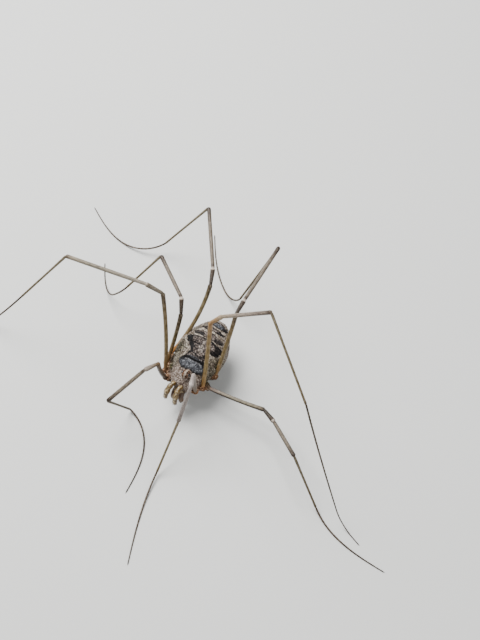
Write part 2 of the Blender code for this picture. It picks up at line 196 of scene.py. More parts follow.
print("stage: helpers ready")


# The body: one skin over shield, eye mound, hind body, hips and knobs
bodyShape = {
    "rear": -4.4,
    "front": 4.05,
    "frontBlunt": 4.5,
    "rearBlunt": 2.4,
    "sides": 40,
    "rings": 60,
    # ahead of the middle, then half the width, the top and the underside
    "stations": (
        (-4.4, 1.72, 4.35, 2.4),
        (-3.0, 2.1, 5.05, 1.7),
        (-1.5, 2.45, 5.45, 1.35),
        (-0.4, 2.52, 5.5, 1.3),
        (0.6, 2.45, 5.3, 1.3),
        (1.5, 2.15, 5.0, 1.4),
        (2.3, 1.82, 4.75, 1.55),
        (3.2, 1.58, 4.4, 1.75),
        (4.05, 1.4, 3.95, 2.15),
    ),
    "furrows": (-3.75, -3.2, -2.6, -1.9, -1.1, -0.2, 0.7, 1.5),
    "furrowDepth": 0.07,
    "furrowHalfWidth": 0.09,
    "voxel": 0.05,
    "softening": 5,
}
mound = {"ahead": 3.0, "halfWidth": 0.4, "halfLength": 0.48, "height": 0.56, "sink": 0.4}
eyeShape = {"radius": 0.17, "side": 0.32, "above": 0.28, "ahead": 0.04, "lidRadius": 0.055}
hips = {
    "lean": -0.12,
    "roots": {1: (3.45, 1.7, 2.8), 2: (2.75, 2.15, 2.7), 3: (1.95, 2.45, 2.65), 4: (1.05, 2.62, 2.75)},
    "shifts": {("left", 3): (0.35, 0, -0.35)},  # this hip is held further forward and down
    "starts": {1: (2.6, 0.7, 2.1), 2: (2.1, 0.7, 2.0), 3: (1.7, 0.7, 2.0), 4: (1.3, 0.7, 2.0)},
    "startRadius": 0.58,
    "neckRadius": 0.43,
    "endShort": 0.18,  # the hip stops this far short of the middle of its knob
    "knobRadius": 0.34,
}


def hipPoints(side, pair):
    ends = []
    for name in ("starts", "roots"):
        ahead, left, up = hips[name][pair]
        ends.append(spot(ahead, sideSign(side) * left + hips["lean"], up))
    shiftAhead, shiftLeft, shiftUp = hips["shifts"].get((side, pair), (0, 0, 0))
    ends[1] += Vector((shiftLeft, -shiftAhead, shiftUp))
    return ends


def bodyHull():  # rings pushed on from the rear to the front, each sized and moved to its station
    rings = []
    for i in range(1, bodyShape["rings"]):
        even = -math.cos(math.pi * i / bodyShape["rings"])
        even = 0.5 * even + 0.5 * math.asin(even) / (math.pi / 2)
        ahead = bodyShape["rear"] + (bodyShape["front"] - bodyShape["rear"]) * (even + 1) / 2
        width, top, under = between(bodyShape["stations"], ahead)
        blunt = bodyShape["frontBlunt"] if even > 0 else bodyShape["rearBlunt"]
        close = (1 - abs(even) ** blunt) ** (1 / blunt)
        rings.append((ahead, width * close, (top - under) / 2 * close, (top + under) / 2))
    selectOnly()
    ahead, wide, high, middle = rings[0]
    bpy.ops.mesh.primitive_circle_add(
        vertices=bodyShape["sides"], radius=1.0, location=(0, -ahead, middle), rotation=(math.pi / 2, 0, 0)
    )
    hull = bpy.context.object
    bpy.ops.object.transform_apply(location=True, rotation=True, scale=True)
    bpy.ops.object.mode_set(mode="EDIT")
    bpy.ops.transform.resize(value=(wide, 1, high), center_override=(0, -ahead, middle))
    bpy.ops.mesh.extrude_region_move()
    bpy.ops.mesh.merge(type="CENTER")
    bpy.ops.mesh.select_all(action="DESELECT")
    bpy.ops.object.mode_set(mode="OBJECT")
    for vert in hull.data.vertices:
        vert.select = abs(vert.co.y + ahead) < 1e-4 and math.hypot(vert.co.x, vert.co.z - middle) > 1e-3
    bpy.ops.object.mode_set(mode="EDIT")
    for before, after in zip(rings, rings[1:]):
        step = (0, before[0] - after[0], after[3] - before[3])
        bpy.ops.mesh.extrude_region_move(TRANSFORM_OT_translate={"value": step})
        size = (after[1] / before[1], 1, after[2] / before[2])
        bpy.ops.transform.resize(value=size, center_override=(0, -after[0], after[3]))
    bpy.ops.mesh.extrude_region_move()
    bpy.ops.mesh.merge(type="CENTER")
    bpy.ops.object.mode_set(mode="OBJECT")
    for vert in hull.data.vertices:
        vert.co = leaned(-vert.co.y, vert.co.x, vert.co.z)
    return hull


def moundFoot():
    return between(bodyShape["stations"], mound["ahead"])[1]


def eyeMound():
    selectOnly()
    bpy.ops.mesh.primitive_uv_sphere_add(segments=24, ring_count=16, radius=1.0)
    dome = bpy.context.object
    for vert in dome.data.vertices:
        rise = mound["height"] if vert.co.z > 0 else mound["sink"]
        ahead = mound["ahead"] - vert.co.y * mound["halfLength"]
        vert.co = leaned(ahead, vert.co.x * mound["halfWidth"], moundFoot() + vert.co.z * rise)
    return dome


def eyeCentre(side):
    ahead = mound["ahead"] + eyeShape["ahead"]
    return leaned(ahead, sideSign(side) * eyeShape["side"], moundFoot() + eyeShape["above"])


def hipPieces(side, pair):  # a tapering hip and the round knob at its end
    start, root = hipPoints(side, pair)
    way = (root - start).normalized()
    end = root - way * hips["endShort"]
    selectOnly()
    bpy.ops.mesh.primitive_cone_add(
        vertices=20,
        radius1=hips["startRadius"],
        radius2=hips["neckRadius"],
        depth=(end - start).length,
        location=(start + end) / 2,
        rotation=way.to_track_quat("Z", "Y").to_euler(),
    )
    cone = bpy.context.object
    bpy.ops.mesh.primitive_uv_sphere_add(segments=20, ring_count=12, radius=hips["knobRadius"], location=root)
    return [cone, bpy.context.object]


sides = ("left", "right")
pairs = (1, 2, 3, 4)
lumps = [bodyHull(), eyeMound()]
for side in sides:
    bpy.ops.mesh.primitive_torus_add(
        major_radius=eyeShape["radius"] * 1.04,
        minor_radius=eyeShape["lidRadius"],
        major_segments=24,
        minor_segments=10,
        location=eyeCentre(side),
        rotation=(0, math.radians(pose["roll"] + sideSign(side) * 62), 0),
    )
    lumps.append(bpy.context.object)
    for pair in pairs:
        lumps += hipPieces(side, pair)
skin = joined("bodySkin", lumps)
remesh = skin.modifiers.new("fuse", "REMESH")
remesh.mode = "VOXEL"
remesh.voxel_size = bodyShape["voxel"]
soften = skin.modifiers.new("soften", "SMOOTH")
soften.factor = 0.5
soften.iterations = bodyShape["softening"]
applyModifiers(skin)
print("stage: body fused,", len(skin.data.polygons), "faces")

# The grain of the skin: rows of small warts across each ring, and finer ones on the shield and the mound
grains = {
    "rowShares": (0.25, 0.62),  # where in each ring a row stands
    "pitch": 0.19,
    "radius": 0.078,
    "height": 0.045,
    "shieldCount": 520,
    "moundRows": (-0.16, 0.16),
    "moundCount": 6,
}


def skinPoint(ahead, turn):  # on the hull, at a turn from the animal's left over its back
    width, top, under = between(bodyShape["stations"], ahead)
    even = (ahead - bodyShape["rear"]) / (bodyShape["front"] - bodyShape["rear"]) * 2 - 1
    blunt = bodyShape["frontBlunt"] if even > 0 else bodyShape["rearBlunt"]
    close = max(1 - abs(even) ** blunt, 0.0) ** (1 / blunt)
    up = (top + under) / 2 + (top - under) / 2 * close * math.sin(turn)
    return leaned(ahead, width * close * math.cos(turn), up)


def grainPlaces():  # the middle of each wart, its size and how pale its tip is
    places = []
    furrows = (bodyShape["rear"],) + bodyShape["furrows"]
    for low, high in zip(furrows, furrows[1:]):
        for share in grains["rowShares"]:
            ahead = low + (high - low) * share
            width = between(bodyShape["stations"], ahead)[0]
            count = int(math.pi * width / grains["pitch"])
            for i in range(count):
                turn = math.pi * (i + 0.5) / count + random.uniform(-0.03, 0.03)
                where = skinPoint(ahead + random.uniform(-0.08, 0.08), turn)
                places.append((where, random.uniform(0.6, 1.15), random.random() ** 1.5))
    for i in range(grains["shieldCount"]):
        where = skinPoint(random.uniform(1.4, 4.0), random.uniform(0.15, math.pi - 0.15))
        places.append((where, random.uniform(0.5, 1.0), random.random()))
    for left in grains["moundRows"]:
        for i in range(grains["moundCount"]):
            along = (i + 0.5) / grains["moundCount"] * 1.5 - 0.75
            rise = math.sqrt(1 - along**2 - (left / mound["halfWidth"]) ** 2 * 0.6)
            where = leaned(mound["ahead"] + along * mound["halfLength"], left, moundFoot() + mound["height"] * rise)
            places.append((where, 0.75, 0.9))
    return places


places = grainPlaces()
grainTree = KDTree(len(places))
for i, (where, size, paleness) in enumerate(places):
    grainTree.insert(where, i)
grainTree.balance()

# Markings of the back: a dark saddle with a black, cream-edged border names the animal
# Outlines and lines are given as places (ahead, left) of the body's middle, in millimetres
marks = {
    # outline, width of the black border, strength of the cream rim
    "saddle": (
        (
            ((1.5, -1.25), (1.05, -1.05), (0.72, -0.92), (0.4, -1.02), (0.05, -1.35), (-0.25, -1.78),
             (-0.65, -1.97), (-0.95, -1.75), (-1.02, -1.1), (-1.1, 0.0), (-1.05, 1.1), (-1.0, 1.78),
             (-0.6, 1.95), (-0.2, 1.8), (0.12, 1.5), (0.3, 1.02), (0.7, 0.9), (1.1, 1.0), (1.5, 1.25)),
            0.21, 1.0,
        ),
        (
            ((-1.2, -1.5), (-1.65, -1.55), (-1.85, -0.9), (-1.95, 0.0), (-1.9, 0.9), (-1.75, 1.5),
             (-1.35, 1.6), (-1.15, 1.2), (-1.2, 0.0)),
            0.1, 0.7,
        ),
        (
            ((-2.15, -1.15), (-2.6, -1.3), (-2.75, -0.6), (-2.8, 0.0), (-2.75, 0.6), (-2.65, 1.35),
             (-2.25, 1.25), (-2.2, 0.0)),
            0.12, 0.5,
        ),
        (
            ((-3.0, -0.95), (-3.5, -1.15), (-3.85, -0.6), (-3.9, 0.0), (-3.85, 0.6), (-3.5, 1.2),
             (-3.0, 1.05), (-2.98, 0.0)),
            0.1, 0.4,
        ),
    ),
    "slate": (
        ((1.45, -1.25), (1.85, -1.42), (2.2, -1.12), (2.45, -0.72), (2.52, 0.15), (2.42, 0.85), (2.15, 1.22),
         (1.8, 1.4), (1.4, 1.22), (1.2, 0.6), (1.12, 0.0), (1.2, -0.6)),
        ((-3.05, -0.7), (-3.6, -0.8), (-3.75, 0.0), (-3.6, 0.75), (-3.05, 0.65)),
    ),
    "slateBorder": 0.12,
    # outline and strength
    "ink": (
        (((1.82, -1.45), (1.35, -1.22), (1.55, -0.85), (1.75, -1.05)), 0.95),
        (((1.8, 1.42), (1.35, 1.22), (1.5, 0.95), (1.7, 1.1)), 0.9),
        (((0.2, 0.72), (0.25, 1.35), (-0.1, 1.85), (-0.55, 1.82), (-0.42, 1.35), (-0.12, 1.0)), 0.95),
        (((-0.82, 0.35), (-0.78, 0.95), (-0.4, 1.25), (-0.35, 1.72), (-1.0, 1.75), (-1.08, 0.9), (-1.08, 0.4)), 0.92),
        (((0.45, -1.0), (0.05, -1.35), (-0.2, -1.75), (-0.62, -1.97), (-0.95, -1.75), (-0.9, -1.35), (-0.6, -1.2),
          (-0.3, -1.25), (-0.1, -0.95), (0.3, -0.75)), 1.0),
        (((1.4, -1.2), (1.1, -1.05), (0.72, -0.95), (0.5, -0.85), (0.7, -0.6), (1.05, -0.85)), 0.97),
        (((-1.22, -1.5), (-1.52, -1.35), (-1.62, -0.7), (-1.45, -0.35), (-1.25, -0.8)), 0.95),
        (((-1.25, 0.5), (-1.2, 1.25), (-1.55, 1.5), (-1.75, 1.05), (-1.6, 0.6)), 0.7),
        (((-2.3, 0.35), (-2.3, 1.1), (-2.65, 1.3), (-2.72, 0.55)), 0.9),
        (((-2.3, -1.1), (-2.6, -1.2), (-2.68, -0.75), (-2.4, -0.6)), 0.85),
        (((-3.05, 0.7), (-3.1, 1.1), (-3.45, 1.15), (-3.5, 0.75)), 0.95),
        (((-3.05, -0.75), (-3.1, -1.0), (-3.45, -1.05), (-3.45, -0.75)), 0.85),
    ),
    # points of a line, half its width and strength
    "inkLines": (
        (((2.44, -0.78), (2.5, 0.0), (2.42, 0.8), (2.2, 1.2)), 0.085, 0.95),
        (((1.1, -0.95), (0.78, -0.72), (0.82, -0.38), (0.95, -0.08)), 0.09, 0.95),
        (((1.02, 0.1), (1.0, 0.42), (0.78, 0.7), (0.45, 0.95)), 0.11, 0.95),
        (((-0.18, -1.25), (-0.25, -0.9), (-0.2, -0.55), (-0.18, -0.32)), 0.08, 0.95),
        (((-0.3, -1.0), (-0.65, -0.5)), 0.04, 0.7),
        (((0.45, -0.95), (0.3, -0.67), (0.38, -0.3)), 0.07, 0.9),
        (((0.75, -0.75), (0.5, -0.55)), 0.06, 0.85),
        (((0.1, -0.5), (-0.05, -0.2)), 0.035, 0.6),
        (((1.72, -1.3), (2.26, -0.98), (2.35, -0.34), (2.38, 0.24), (2.35, 0.8)), 0.1, 0.55),
        (((-0.1, 0.85), (-0.35, 0.55), (-0.3, 0.3)), 0.045, 0.7),
        (((1.3, -0.9), (1.75, -0.6), (2.2, -0.5)), 0.03, 0.5),
        (((1.3, 0.5), (1.8, 0.6), (2.3, 0.55)), 0.035, 0.5),
    ),
    "paleLines": (
        (((1.95, -0.95), (2.2, -0.4), (2.32, 0.3), (2.25, 0.8)), 0.02, 0.35),
        (((1.5, -0.3), (1.75, 0.1), (2.0, 0.7)), 0.015, 0.3),
        (((0.5, -1.2), (0.36, -1.4), (0.0, -1.68), (-0.3, -1.98), (-0.7, -2.1)), 0.07, 1.0),
        (((0.95, -1.22), (1.27, -1.28), (1.5, -1.45)), 0.06, 0.85),
        (((0.5, 1.25), (0.2, 1.66), (-0.1, 1.9), (-0.5, 2.05)), 0.03, 0.8),
        (((1.25, 1.2), (0.78, 1.1), (0.55, 1.22)), 0.04, 0.6),
        (((-2.0, -1.2), (-2.08, -0.6), (-2.12, 0.0), (-2.08, 0.7), (-1.95, 1.35)), 0.05, 0.7),
        (((-1.75, -1.85), (-1.95, -1.35), (-2.05, -1.0)), 0.06, 0.8),
        (((-2.7, -1.5), (-2.88, -0.8), (-2.92, 0.0), (-2.88, 0.8), (-2.75, 1.4)), 0.05, 0.65),
        (((-1.1, -1.55), (-1.13, -0.8), (-1.15, 0.0), (-1.12, 0.8)), 0.04, 0.55),
    ),
    "pale": (
        (((0.85, -1.25), (0.45, -1.2), (0.15, -1.5), (0.3, -1.85), (0.85, -1.7)), 0.4),
        (((0.35, 1.15), (0.3, 1.5), (0.1, 1.75), (0.3, 1.85), (0.65, 1.5), (0.7, 1.15)), 0.15),
        (((1.1, -1.5), (1.5, -1.6), (2.2, -1.4), (2.4, -1.7), (2.2, -2.0), (1.2, -2.1)), 0.35),
        (((-1.4, -1.75), (-1.5, -2.2), (-2.3, -1.9), (-2.2, -1.35)), 0.45),
    ),
    "midline": (((0.7, 0.0), (-0.4, 0.02), (-1.0, 0.0)), 0.16, 0.5),
    "upperFrom": 3.0,
    "edgeSoftness": 0.035,
}


def insideBy(outline, ahead, left):  # how far inside the outline a place is, or outside it as a minus
    nearest, inside = 1e9, False
    for (a, l), (nextA, nextL) in zip(outline, outline[1:] + outline[:1]):
        runA, runL = nextA - a, nextL - l
        t = min(max(((ahead - a) * runA + (left - l) * runL) / (runA**2 + runL**2), 0.0), 1.0)
        nearest = min(nearest, math.hypot(ahead - a - runA * t, left - l - runL * t))
        if (l > left) != (nextL > left) and ahead < a + runA * (left - l) / runL:
            inside = not inside
    return nearest if inside else -nearest


def offLine(points, ahead, left):
    nearest = 1e9
    for (a, l), (nextA, nextL) in zip(points, points[1:]):
        runA, runL = nextA - a, nextL - l
        t = min(max(((ahead - a) * runA + (left - l) * runL) / (runA**2 + runL**2), 0.0), 1.0)
        nearest = min(nearest, math.hypot(ahead - a - runA * t, left - l - runL * t))
    return nearest


def isNear(outline, ahead, left):  # within a third of a millimetre of the outline's own box
    aheads, lefts = [a for a, l in outline], [l for a, l in outline]
    return min(aheads) - 0.35 < ahead < max(aheads) + 0.35 and min(lefts) - 0.35 < left < max(lefts) + 0.35


def softStep(value, softness):
    t = min(max(value / softness * 0.5 + 0.5, 0.0), 1.0)
    return t * t * (3 - 2 * t)


def markedAt(home):  # the amounts of saddle, ink, slate and cream at a place on the upright body
    upper = min(max((home.z - marks["upperFrom"]) / 0.4, 0.0), 1.0)
    if upper <= 0 or abs(home.x) > 2.4:
        return 0.0, 0.0, 0.0, 0.0
    warp = noise.noise_vector(home * 1.7) * 0.13 + noise.noise_vector(home * 5.5) * 0.07
    ahead, left, soft = home.y + warp.y, home.x + warp.x, marks["edgeSoftness"]
    patchy = noise.noise(home * 2.3) * 0.5 + 0.5
    saddle = ink = slate = cream = 0.0
    for outline, border, rim in marks["saddle"]:
        if not isNear(outline, ahead, left):
            continue
        depth = insideBy(outline, ahead, left)
        within = softStep(depth, soft)
        saddle = max(saddle, within)
        ink = max(ink, within * softStep(border * (0.4 + 1.1 * patchy) - depth, soft))
        rimHere = softStep(-depth, soft) * softStep(0.03 + 0.13 * patchy + depth, 0.04)
        cream = max(cream, rim * rimHere * min(0.1 + 1.7 * patchy**2, 1.0))
    for outline in marks["slate"]:
        if not isNear(outline, ahead, left):
            continue
        depth = insideBy(outline, ahead, left)
        slate = max(slate, softStep(depth, soft))
        ink = max(ink, softStep(depth, soft) * softStep(marks["slateBorder"] - depth, soft) * 0.7)
    for outline, strength in marks["ink"]:
        if not isNear(outline, ahead, left):
            continue
        ink = max(ink, softStep(insideBy(outline, ahead, left), soft) * strength)
    for points, halfWidth, strength in marks["inkLines"]:
        if not isNear(points, ahead, left):
            continue
        ink = max(ink, softStep(halfWidth - offLine(points, ahead, left), soft) * strength)
    for points, halfWidth, strength in marks["paleLines"]:
        if not isNear(points, ahead, left):
            continue
        broken = min(0.2 + 1.4 * patchy, 1.0)
        cream = max(cream, softStep(halfWidth - offLine(points, ahead, left), 0.05) * strength * broken)
    for outline, strength in marks["pale"]:
        if not isNear(outline, ahead, left):
            continue
        cream = max(cream, softStep(insideBy(outline, ahead, left), 0.15) * strength)
    points, halfWidth, strength = marks["midline"]
    cream = max(cream, softStep(halfWidth - offLine(points, ahead, left), 0.12) * strength * patchy)
    saddle = max(saddle, slate)
    cream *= 1 - 0.8 * slate
    return saddle * upper, ink * upper, slate * upper, cream * (1 - ink) * upper


def moundAt(home):  # how far up the eye mound a place is
    if abs(home.x) > 0.7 or abs(home.y - mound["ahead"]) > 0.8:
        return 0.0
    away = math.hypot(home.x / mound["halfWidth"], (home.y - mound["ahead"]) / mound["halfLength"])
    return softStep(1.15 - away, 0.2) * softStep(home.z - moundFoot() - 0.02, 0.15)


layerNames = ("grain", "hipness", "saddle", "ink", "slate", "cream", "moundness")
for name in layerNames:
    skin.data.attributes.new(name, "FLOAT", "POINT")
skin.data.attributes.new("bodyPlace", "FLOAT_VECTOR", "POINT")
layers = {name: skin.data.attributes[name] for name in layerNames}
bodyPlace = skin.data.attributes["bodyPlace"]
rustOf = {("left", 3): 0.35}  # one knob is paler than the rest
knobs = [(*hipPoints(side, pair), rustOf.get((side, pair), 1.0)) for side in sides for pair in pairs]
normals = [vert.normal.copy() for vert in skin.data.vertices]
for vert, normal in zip(skin.data.vertices, normals):
    home = upright(vert.co)
    bodyPlace.data[vert.index].vector = home
    hip = rust = 0.0
    for start, end, strength in knobs:
        t = min(max((vert.co - start).dot(end - start) / (end - start).length_squared, 0.4), 1.0)
        away = (vert.co - start.lerp(end, t)).length
        hip = max(hip, min((0.62 - away) / 0.25, 1.0))
        near = (vert.co - end).length
        rust = max(rust, min(max((0.62 - near) / 0.25, 0.0), 1.0) * strength)
    lift = 0.0
    for furrow in bodyShape["furrows"]:
        gap = (home.y - furrow - 0.08 * (home.x / 2.4) ** 2) / bodyShape["furrowHalfWidth"]
        lift -= bodyShape["furrowDepth"] * math.exp(-(gap**2)) * (1 - hip)
    found, index, distance = grainTree.find(vert.co)
    where, size, paleness = places[index]
    dome = max(1 - (distance / (grains["radius"] * size)) ** 2, 0.0) ** 1.5 * size
    saddle, ink, slate, cream = markedAt(home)
    values = (dome * paleness * (1 - 0.6 * slate) * (1 - 0.7 * ink), rust, saddle, ink, slate, cream, moundAt(home))
    for name, value in zip(layerNames, values):
        layers[name].data[vert.index].value = value
    fine = noise.noise(home * 5.0) * 0.018 + noise.noise(home * 14.0) * 0.012
    vert.co += normal * (lift + dome * grains["height"] + fine)
print("stage: skin grained and marked")

# Cuticle of the body: matt and leathery, granular all over, each grain paler at its middle and darker at its rim, as
# painted shade between the grains
toneStops = (0.28, 0.43, 0.56, 0.74)
cuticleColours = {
    # each from its darkest to its palest, at these stops of the skin's tone
    "flank": ("#14120a", "#2d2a19", "#4c472f", "#827c60"),
    "side": ("#372e26", "#5d5247", "#81766b", "#ada298"),
    "shield": ("#40332b", "#64574e", "#7f736a", "#a79c93"),
    "saddle": ("#1f1a18", "#463d38", "#6d625c", "#978c85"),
    "slate": ("#26262a", "#414246", "#5a5c60", "#7c7f83"),
    "mound": ("#24160e", "#462f20", "#6b4d37", "#9b8069"),
    "knob": ("#352213", "#5b3f2a", "#7e5d42", "#ad9079"),
    "ink": "#040304",
    "cream": "#c4baab",
    "tip": "#c9c0b6",
}


def cuticleMaterial():
    material, tree, shader = newMaterial("leatheryCuticle", 0.62, Specular_IOR_Level=0.15)
    place = addNode(tree, "ShaderNodeAttribute", attribute_name="bodyPlace").outputs["Vector"]
    layer = {name: addNode(tree, "ShaderNodeAttribute", attribute_name=name).outputs["Fac"] for name in layerNames}
    parts = addNode(tree, "ShaderNodeSeparateXYZ", {0: place})
    cloud = addNode(tree, "ShaderNodeTexNoise", {"Vector": place, "Scale": 1.6, "Detail": 3.0}).outputs[0]
    fine = addNode(tree, "ShaderNodeTexNoise", {"Vector": place, "Scale": 6.5, "Detail": 4.0}).outputs[0]
    cells = addNode(tree, "ShaderNodeTexVoronoi", {"Vector": place, "Scale": 7.5})  # grains about 0.13 mm across
    cellParts = addNode(tree, "ShaderNodeSeparateColor", {0: cells.outputs["Color"]})
    # painted shade: darker at the rims between small grains, lighter at their middles
    grainRimShade = addNode(tree, "ShaderNodeMapRange", {0: cells.outputs["Distance"], 1: 0.1, 2: 0.6, 3: 0.12, 4: -0.12})
    chance = addNode(tree, "ShaderNodeMapRange", {0: cellParts.outputs[0], 1: 0.0, 2: 1.0, 3: -0.1, 4: 0.1})
    tone = addNode(tree, "ShaderNodeMath", {0: fine, 1: grainRimShade.outputs[0]}, operation="ADD")
    tone = addNode(tree, "ShaderNodeMath", {0: tone.outputs[0], 1: chance.outputs[0]}, operation="ADD").outputs[0]

    # flanks and belly, olive-brown low at the front and lilac-grey behind
    aside = addNode(tree, "ShaderNodeMath", {0: parts.outputs["X"]}, operation="ABSOLUTE").outputs[0]
    forward = addNode(tree, "ShaderNodeMapRange", {0: parts.outputs["Y"], 1: -0.8, 2: 0.4, 3: 0.0, 4: 1.0}).outputs[0]
    outer = addNode(tree, "ShaderNodeMapRange", {0: aside, 1: 1.2, 2: 1.7, 3: 0.0, 4: 1.0}).outputs[0]
    olive = addNode(tree, "ShaderNodeMath", {0: forward, 1: outer}, operation="MULTIPLY").outputs[0]
    blotch = addNode(tree, "ShaderNodeMapRange", {0: cloud, 1: 0.38, 2: 0.6, 3: 0.35, 4: 1.0}).outputs[0]
    olive = addNode(tree, "ShaderNodeMath", {0: olive, 1: blotch}, operation="MULTIPLY").outputs[0]
    ahead = addNode(tree, "ShaderNodeMapRange", {0: parts.outputs["Y"], 1: 2.35, 2: 2.7, 3: 0.0, 4: 0.9}).outputs[0]
    creamy = addNode(tree, "ShaderNodeMapRange", {0: tone, 1: 0.36, 2: 0.62, 3: 0.2, 4: 1.0}).outputs[0]
    creamy = addNode(tree, "ShaderNodeMath", {0: layer["cream"], 1: creamy}, operation="MULTIPLY").outputs[0]
    broken = addNode(tree, "ShaderNodeMapRange", {0: tone, 1: 0.5, 2: 0.8, 3: 1.0, 4: 0.85}).outputs[0]
    inky = addNode(tree, "ShaderNodeMath", {0: layer["ink"], 1: broken}, operation="MULTIPLY").outputs[0]
    # the mound has a pale crest between the eyes
    uneven = addNode(tree, "ShaderNodeMath", {0: tone, 1: 0.3}, operation="MULTIPLY").outputs[0]
    crest = addNode(tree, "ShaderNodeMath", {0: aside, 1: uneven}, operation="SUBTRACT").outputs[0]
    crest = addNode(tree, "ShaderNodeMapRange", {0: crest, 1: -0.09, 2: -0.03, 3: 0.45, 4: 0.0}).outputs[0]
    crest = addNode(tree, "ShaderNodeMath", {0: crest, 1: layer["moundness"]}, operation="MULTIPLY").outputs[0]
    tips = addNode(tree, "ShaderNodeMapRange", {0: layer["grain"], 1: 0.2, 2: 0.75, 3: 0.0, 4: 0.7}).outputs[0]
    colour = linear(cuticleColours["tip"])
    for mask, tint in (
        (1.0, "side"),
        (olive, "flank"),
        (ahead, "shield"),
        (layer["saddle"], "saddle"),
        (layer["slate"], "slate"),
        (creamy, "cream"),
        (inky, "ink"),
        (layer["moundness"], "mound"),
        (crest, "cream"),
        (layer["hipness"], "knob"),
        (tips, "tip"),
    ):
        upper = cuticleColours[tint]
        if isinstance(upper, str):
            upper = linear(upper)
        else:
            stops = tuple(zip(toneStops, upper))
            upper = setRamp(addNode(tree, "ShaderNodeValToRGB", {0: tone}), stops).outputs[0]
        colour = addNode(tree, "ShaderNodeMix", {0: mask, 6: colour, 7: upper}, data_type="RGBA").outputs[2]
    tree.links.new(colour, shader.inputs["Base Color"])
    bump = addNode(tree, "ShaderNodeBump", {"Height": tone, "Strength": 0.6, "Distance": 0.00005})
    tree.links.new(bump.outputs[0], shader.inputs["Normal"])
    return material


finished(skin, cuticleMaterial(), "shield", "prosoma", "opisthosoma")
print("stage: body skin done")


# Eyes: glossy black beads, set in the sides of the mound
def eyeMaterial():
    return newMaterial("glossyCornea", 0.08, Base_Color=linear("#0a0a0c"), IOR=1.5, Coat_Weight=0.6)[0]


cornea = eyeMaterial()
for side in sides:
    selectOnly()
    bpy.ops.mesh.primitive_uv_sphere_add(
        segments=40, ring_count=24, radius=eyeShape["radius"], location=eyeCentre(side)
    )
    eye = bpy.context.object
    eye.name = "eyeBall_" + side
    finished(eye, cornea, "eye", "eye_" + side)
print("stage: eyes done")


# Limbs are shaped straight, along X, and then bent along their line by a Curve modifier
def straightLimb(name, rings, sideCount, ridges):
    selectOnly()
    bpy.ops.mesh.primitive_circle_add(
        vertices=sideCount, radius=rings[0][1], location=(rings[0][0], 0, 0), rotation=(0, math.pi / 2, 0)
    )
    limb = bpy.context.object
    limb.name = name
    bpy.ops.object.transform_apply(location=True, rotation=True, scale=True)
    for vert in limb.data.vertices:  # low ridges along the limb
        turn = math.atan2(vert.co.z, vert.co.y)
        swell = 1 + ridges["height"] * math.cos(ridges["count"] * turn)
        vert.co.y *= swell
        vert.co.z *= swell
    bpy.ops.object.mode_set(mode="EDIT")
    bpy.ops.mesh.select_all(action="SELECT")
    for (fromX, fromRadius), (toX, toRadius) in zip(rings, rings[1:]):
        bpy.ops.mesh.extrude_region_move(TRANSFORM_OT_translate={"value": (toX - fromX, 0, 0)})
        size = toRadius / fromRadius
        bpy.ops.transform.resize(value=(1, size, size), center_override=(toX, 0, 0))
    bpy.ops.mesh.extrude_region_move()
    bpy.ops.mesh.merge(type="CENTER")
    bpy.ops.mesh.select_non_manifold()
    bpy.ops.mesh.edge_face_add()
    bpy.ops.object.mode_set(mode="OBJECT")
    outward(limb)
    return limb


def smoothed(limb, levels=1):
    smooth = limb.modifiers.new("smooth", "SUBSURF")
    smooth.levels = smooth.render_levels = levels
    applyModifiers(limb)


def thornRow(name, fromX, toX, pitch, radiusAt, height, turn):  # one thorn, repeated along a ridge
    selectOnly()
    bpy.ops.mesh.primitive_cone_add(
        vertices=5, radius1=height * 0.34, radius2=0.003, depth=height * 1.5, location=(fromX, 0, radiusAt)
    )
    row = bpy.context.object
    row.name = name
    bpy.ops.object.mode_set(mode="EDIT")
    bpy.ops.mesh.select_all(action="DESELECT")
    bpy.ops.object.mode_set(mode="OBJECT")
    for vert in row.data.vertices:
        vert.select = vert.co.z > 0
    bpy.ops.object.mode_set(mode="EDIT")
    bpy.ops.transform.translate(value=(height * 0.5, 0, 0))
    bpy.ops.object.mode_set(mode="OBJECT")
    repeat = row.modifiers.new("repeat", "ARRAY")
    repeat.count = max(int((toX - fromX) / pitch), 1)
    repeat.use_relative_offset = False
    repeat.use_constant_offset = True
    repeat.constant_offset_displace = (pitch, 0, 0)
    applyModifiers(row)
    bpy.ops.object.transform_apply(location=True, rotation=True, scale=True)
    row.rotation_euler = (turn, 0, 0)
    bpy.ops.object.transform_apply(location=True, rotation=True, scale=True)
    return row


def rounded(corners, cut, steps):  # the line through the corners with each one rounded, and where its middle falls
    points, middles, run = [corners[0]], [0.0], 0.0
    for before, corner, after in zip(corners, corners[1:], corners[2:]):
        a = corner + (before - corner).normalized() * min(cut, (before - corner).length / 3)
        b = corner + (after - corner).normalized() * min(cut, (after - corner).length / 3)
        for i in range(steps + 1):
            t = i / steps
            point = a.lerp(corner, t).lerp(corner.lerp(b, t), t)
            run += (point - points[-1]).length
            points.append(point)
            if i == steps // 2:
                middles.append(run)
    run += (corners[-1] - points[-1]).length
    points.append(corners[-1])
    middles.append(run)
    return points, middles


def bendAlong(limb, points):
    line = bpy.data.curves.new("limbLine", "CURVE")
    line.dimensions = "3D"
    line.twist_mode = "MINIMUM"
    line.use_path = True
    spline = line.splines.new("POLY")
    spline.points.add(len(points) - 1)
    for target, point in zip(spline.points, points):
        target.co = (*point, 1.0)
    rail = bpy.data.objects.new("limbLine", line)
    bpy.context.scene.collection.objects.link(rail)
    bend = limb.modifiers.new("bend", "CURVE")
    bend.object = rail
    bend.deform_axis = "POS_X"
    applyModifiers(limb)
    bpy.data.objects.remove(rail)
    bpy.data.curves.remove(line)


def evenly(points, step):  # the same line with points no further apart than the step
    line = [points[0]]
    for a, b in zip(points, points[1:]):
        count = max(math.ceil((b - a).length / step), 1)
        line += [a.lerp(b, (i + 1) / count) for i in range(count)]
    return line


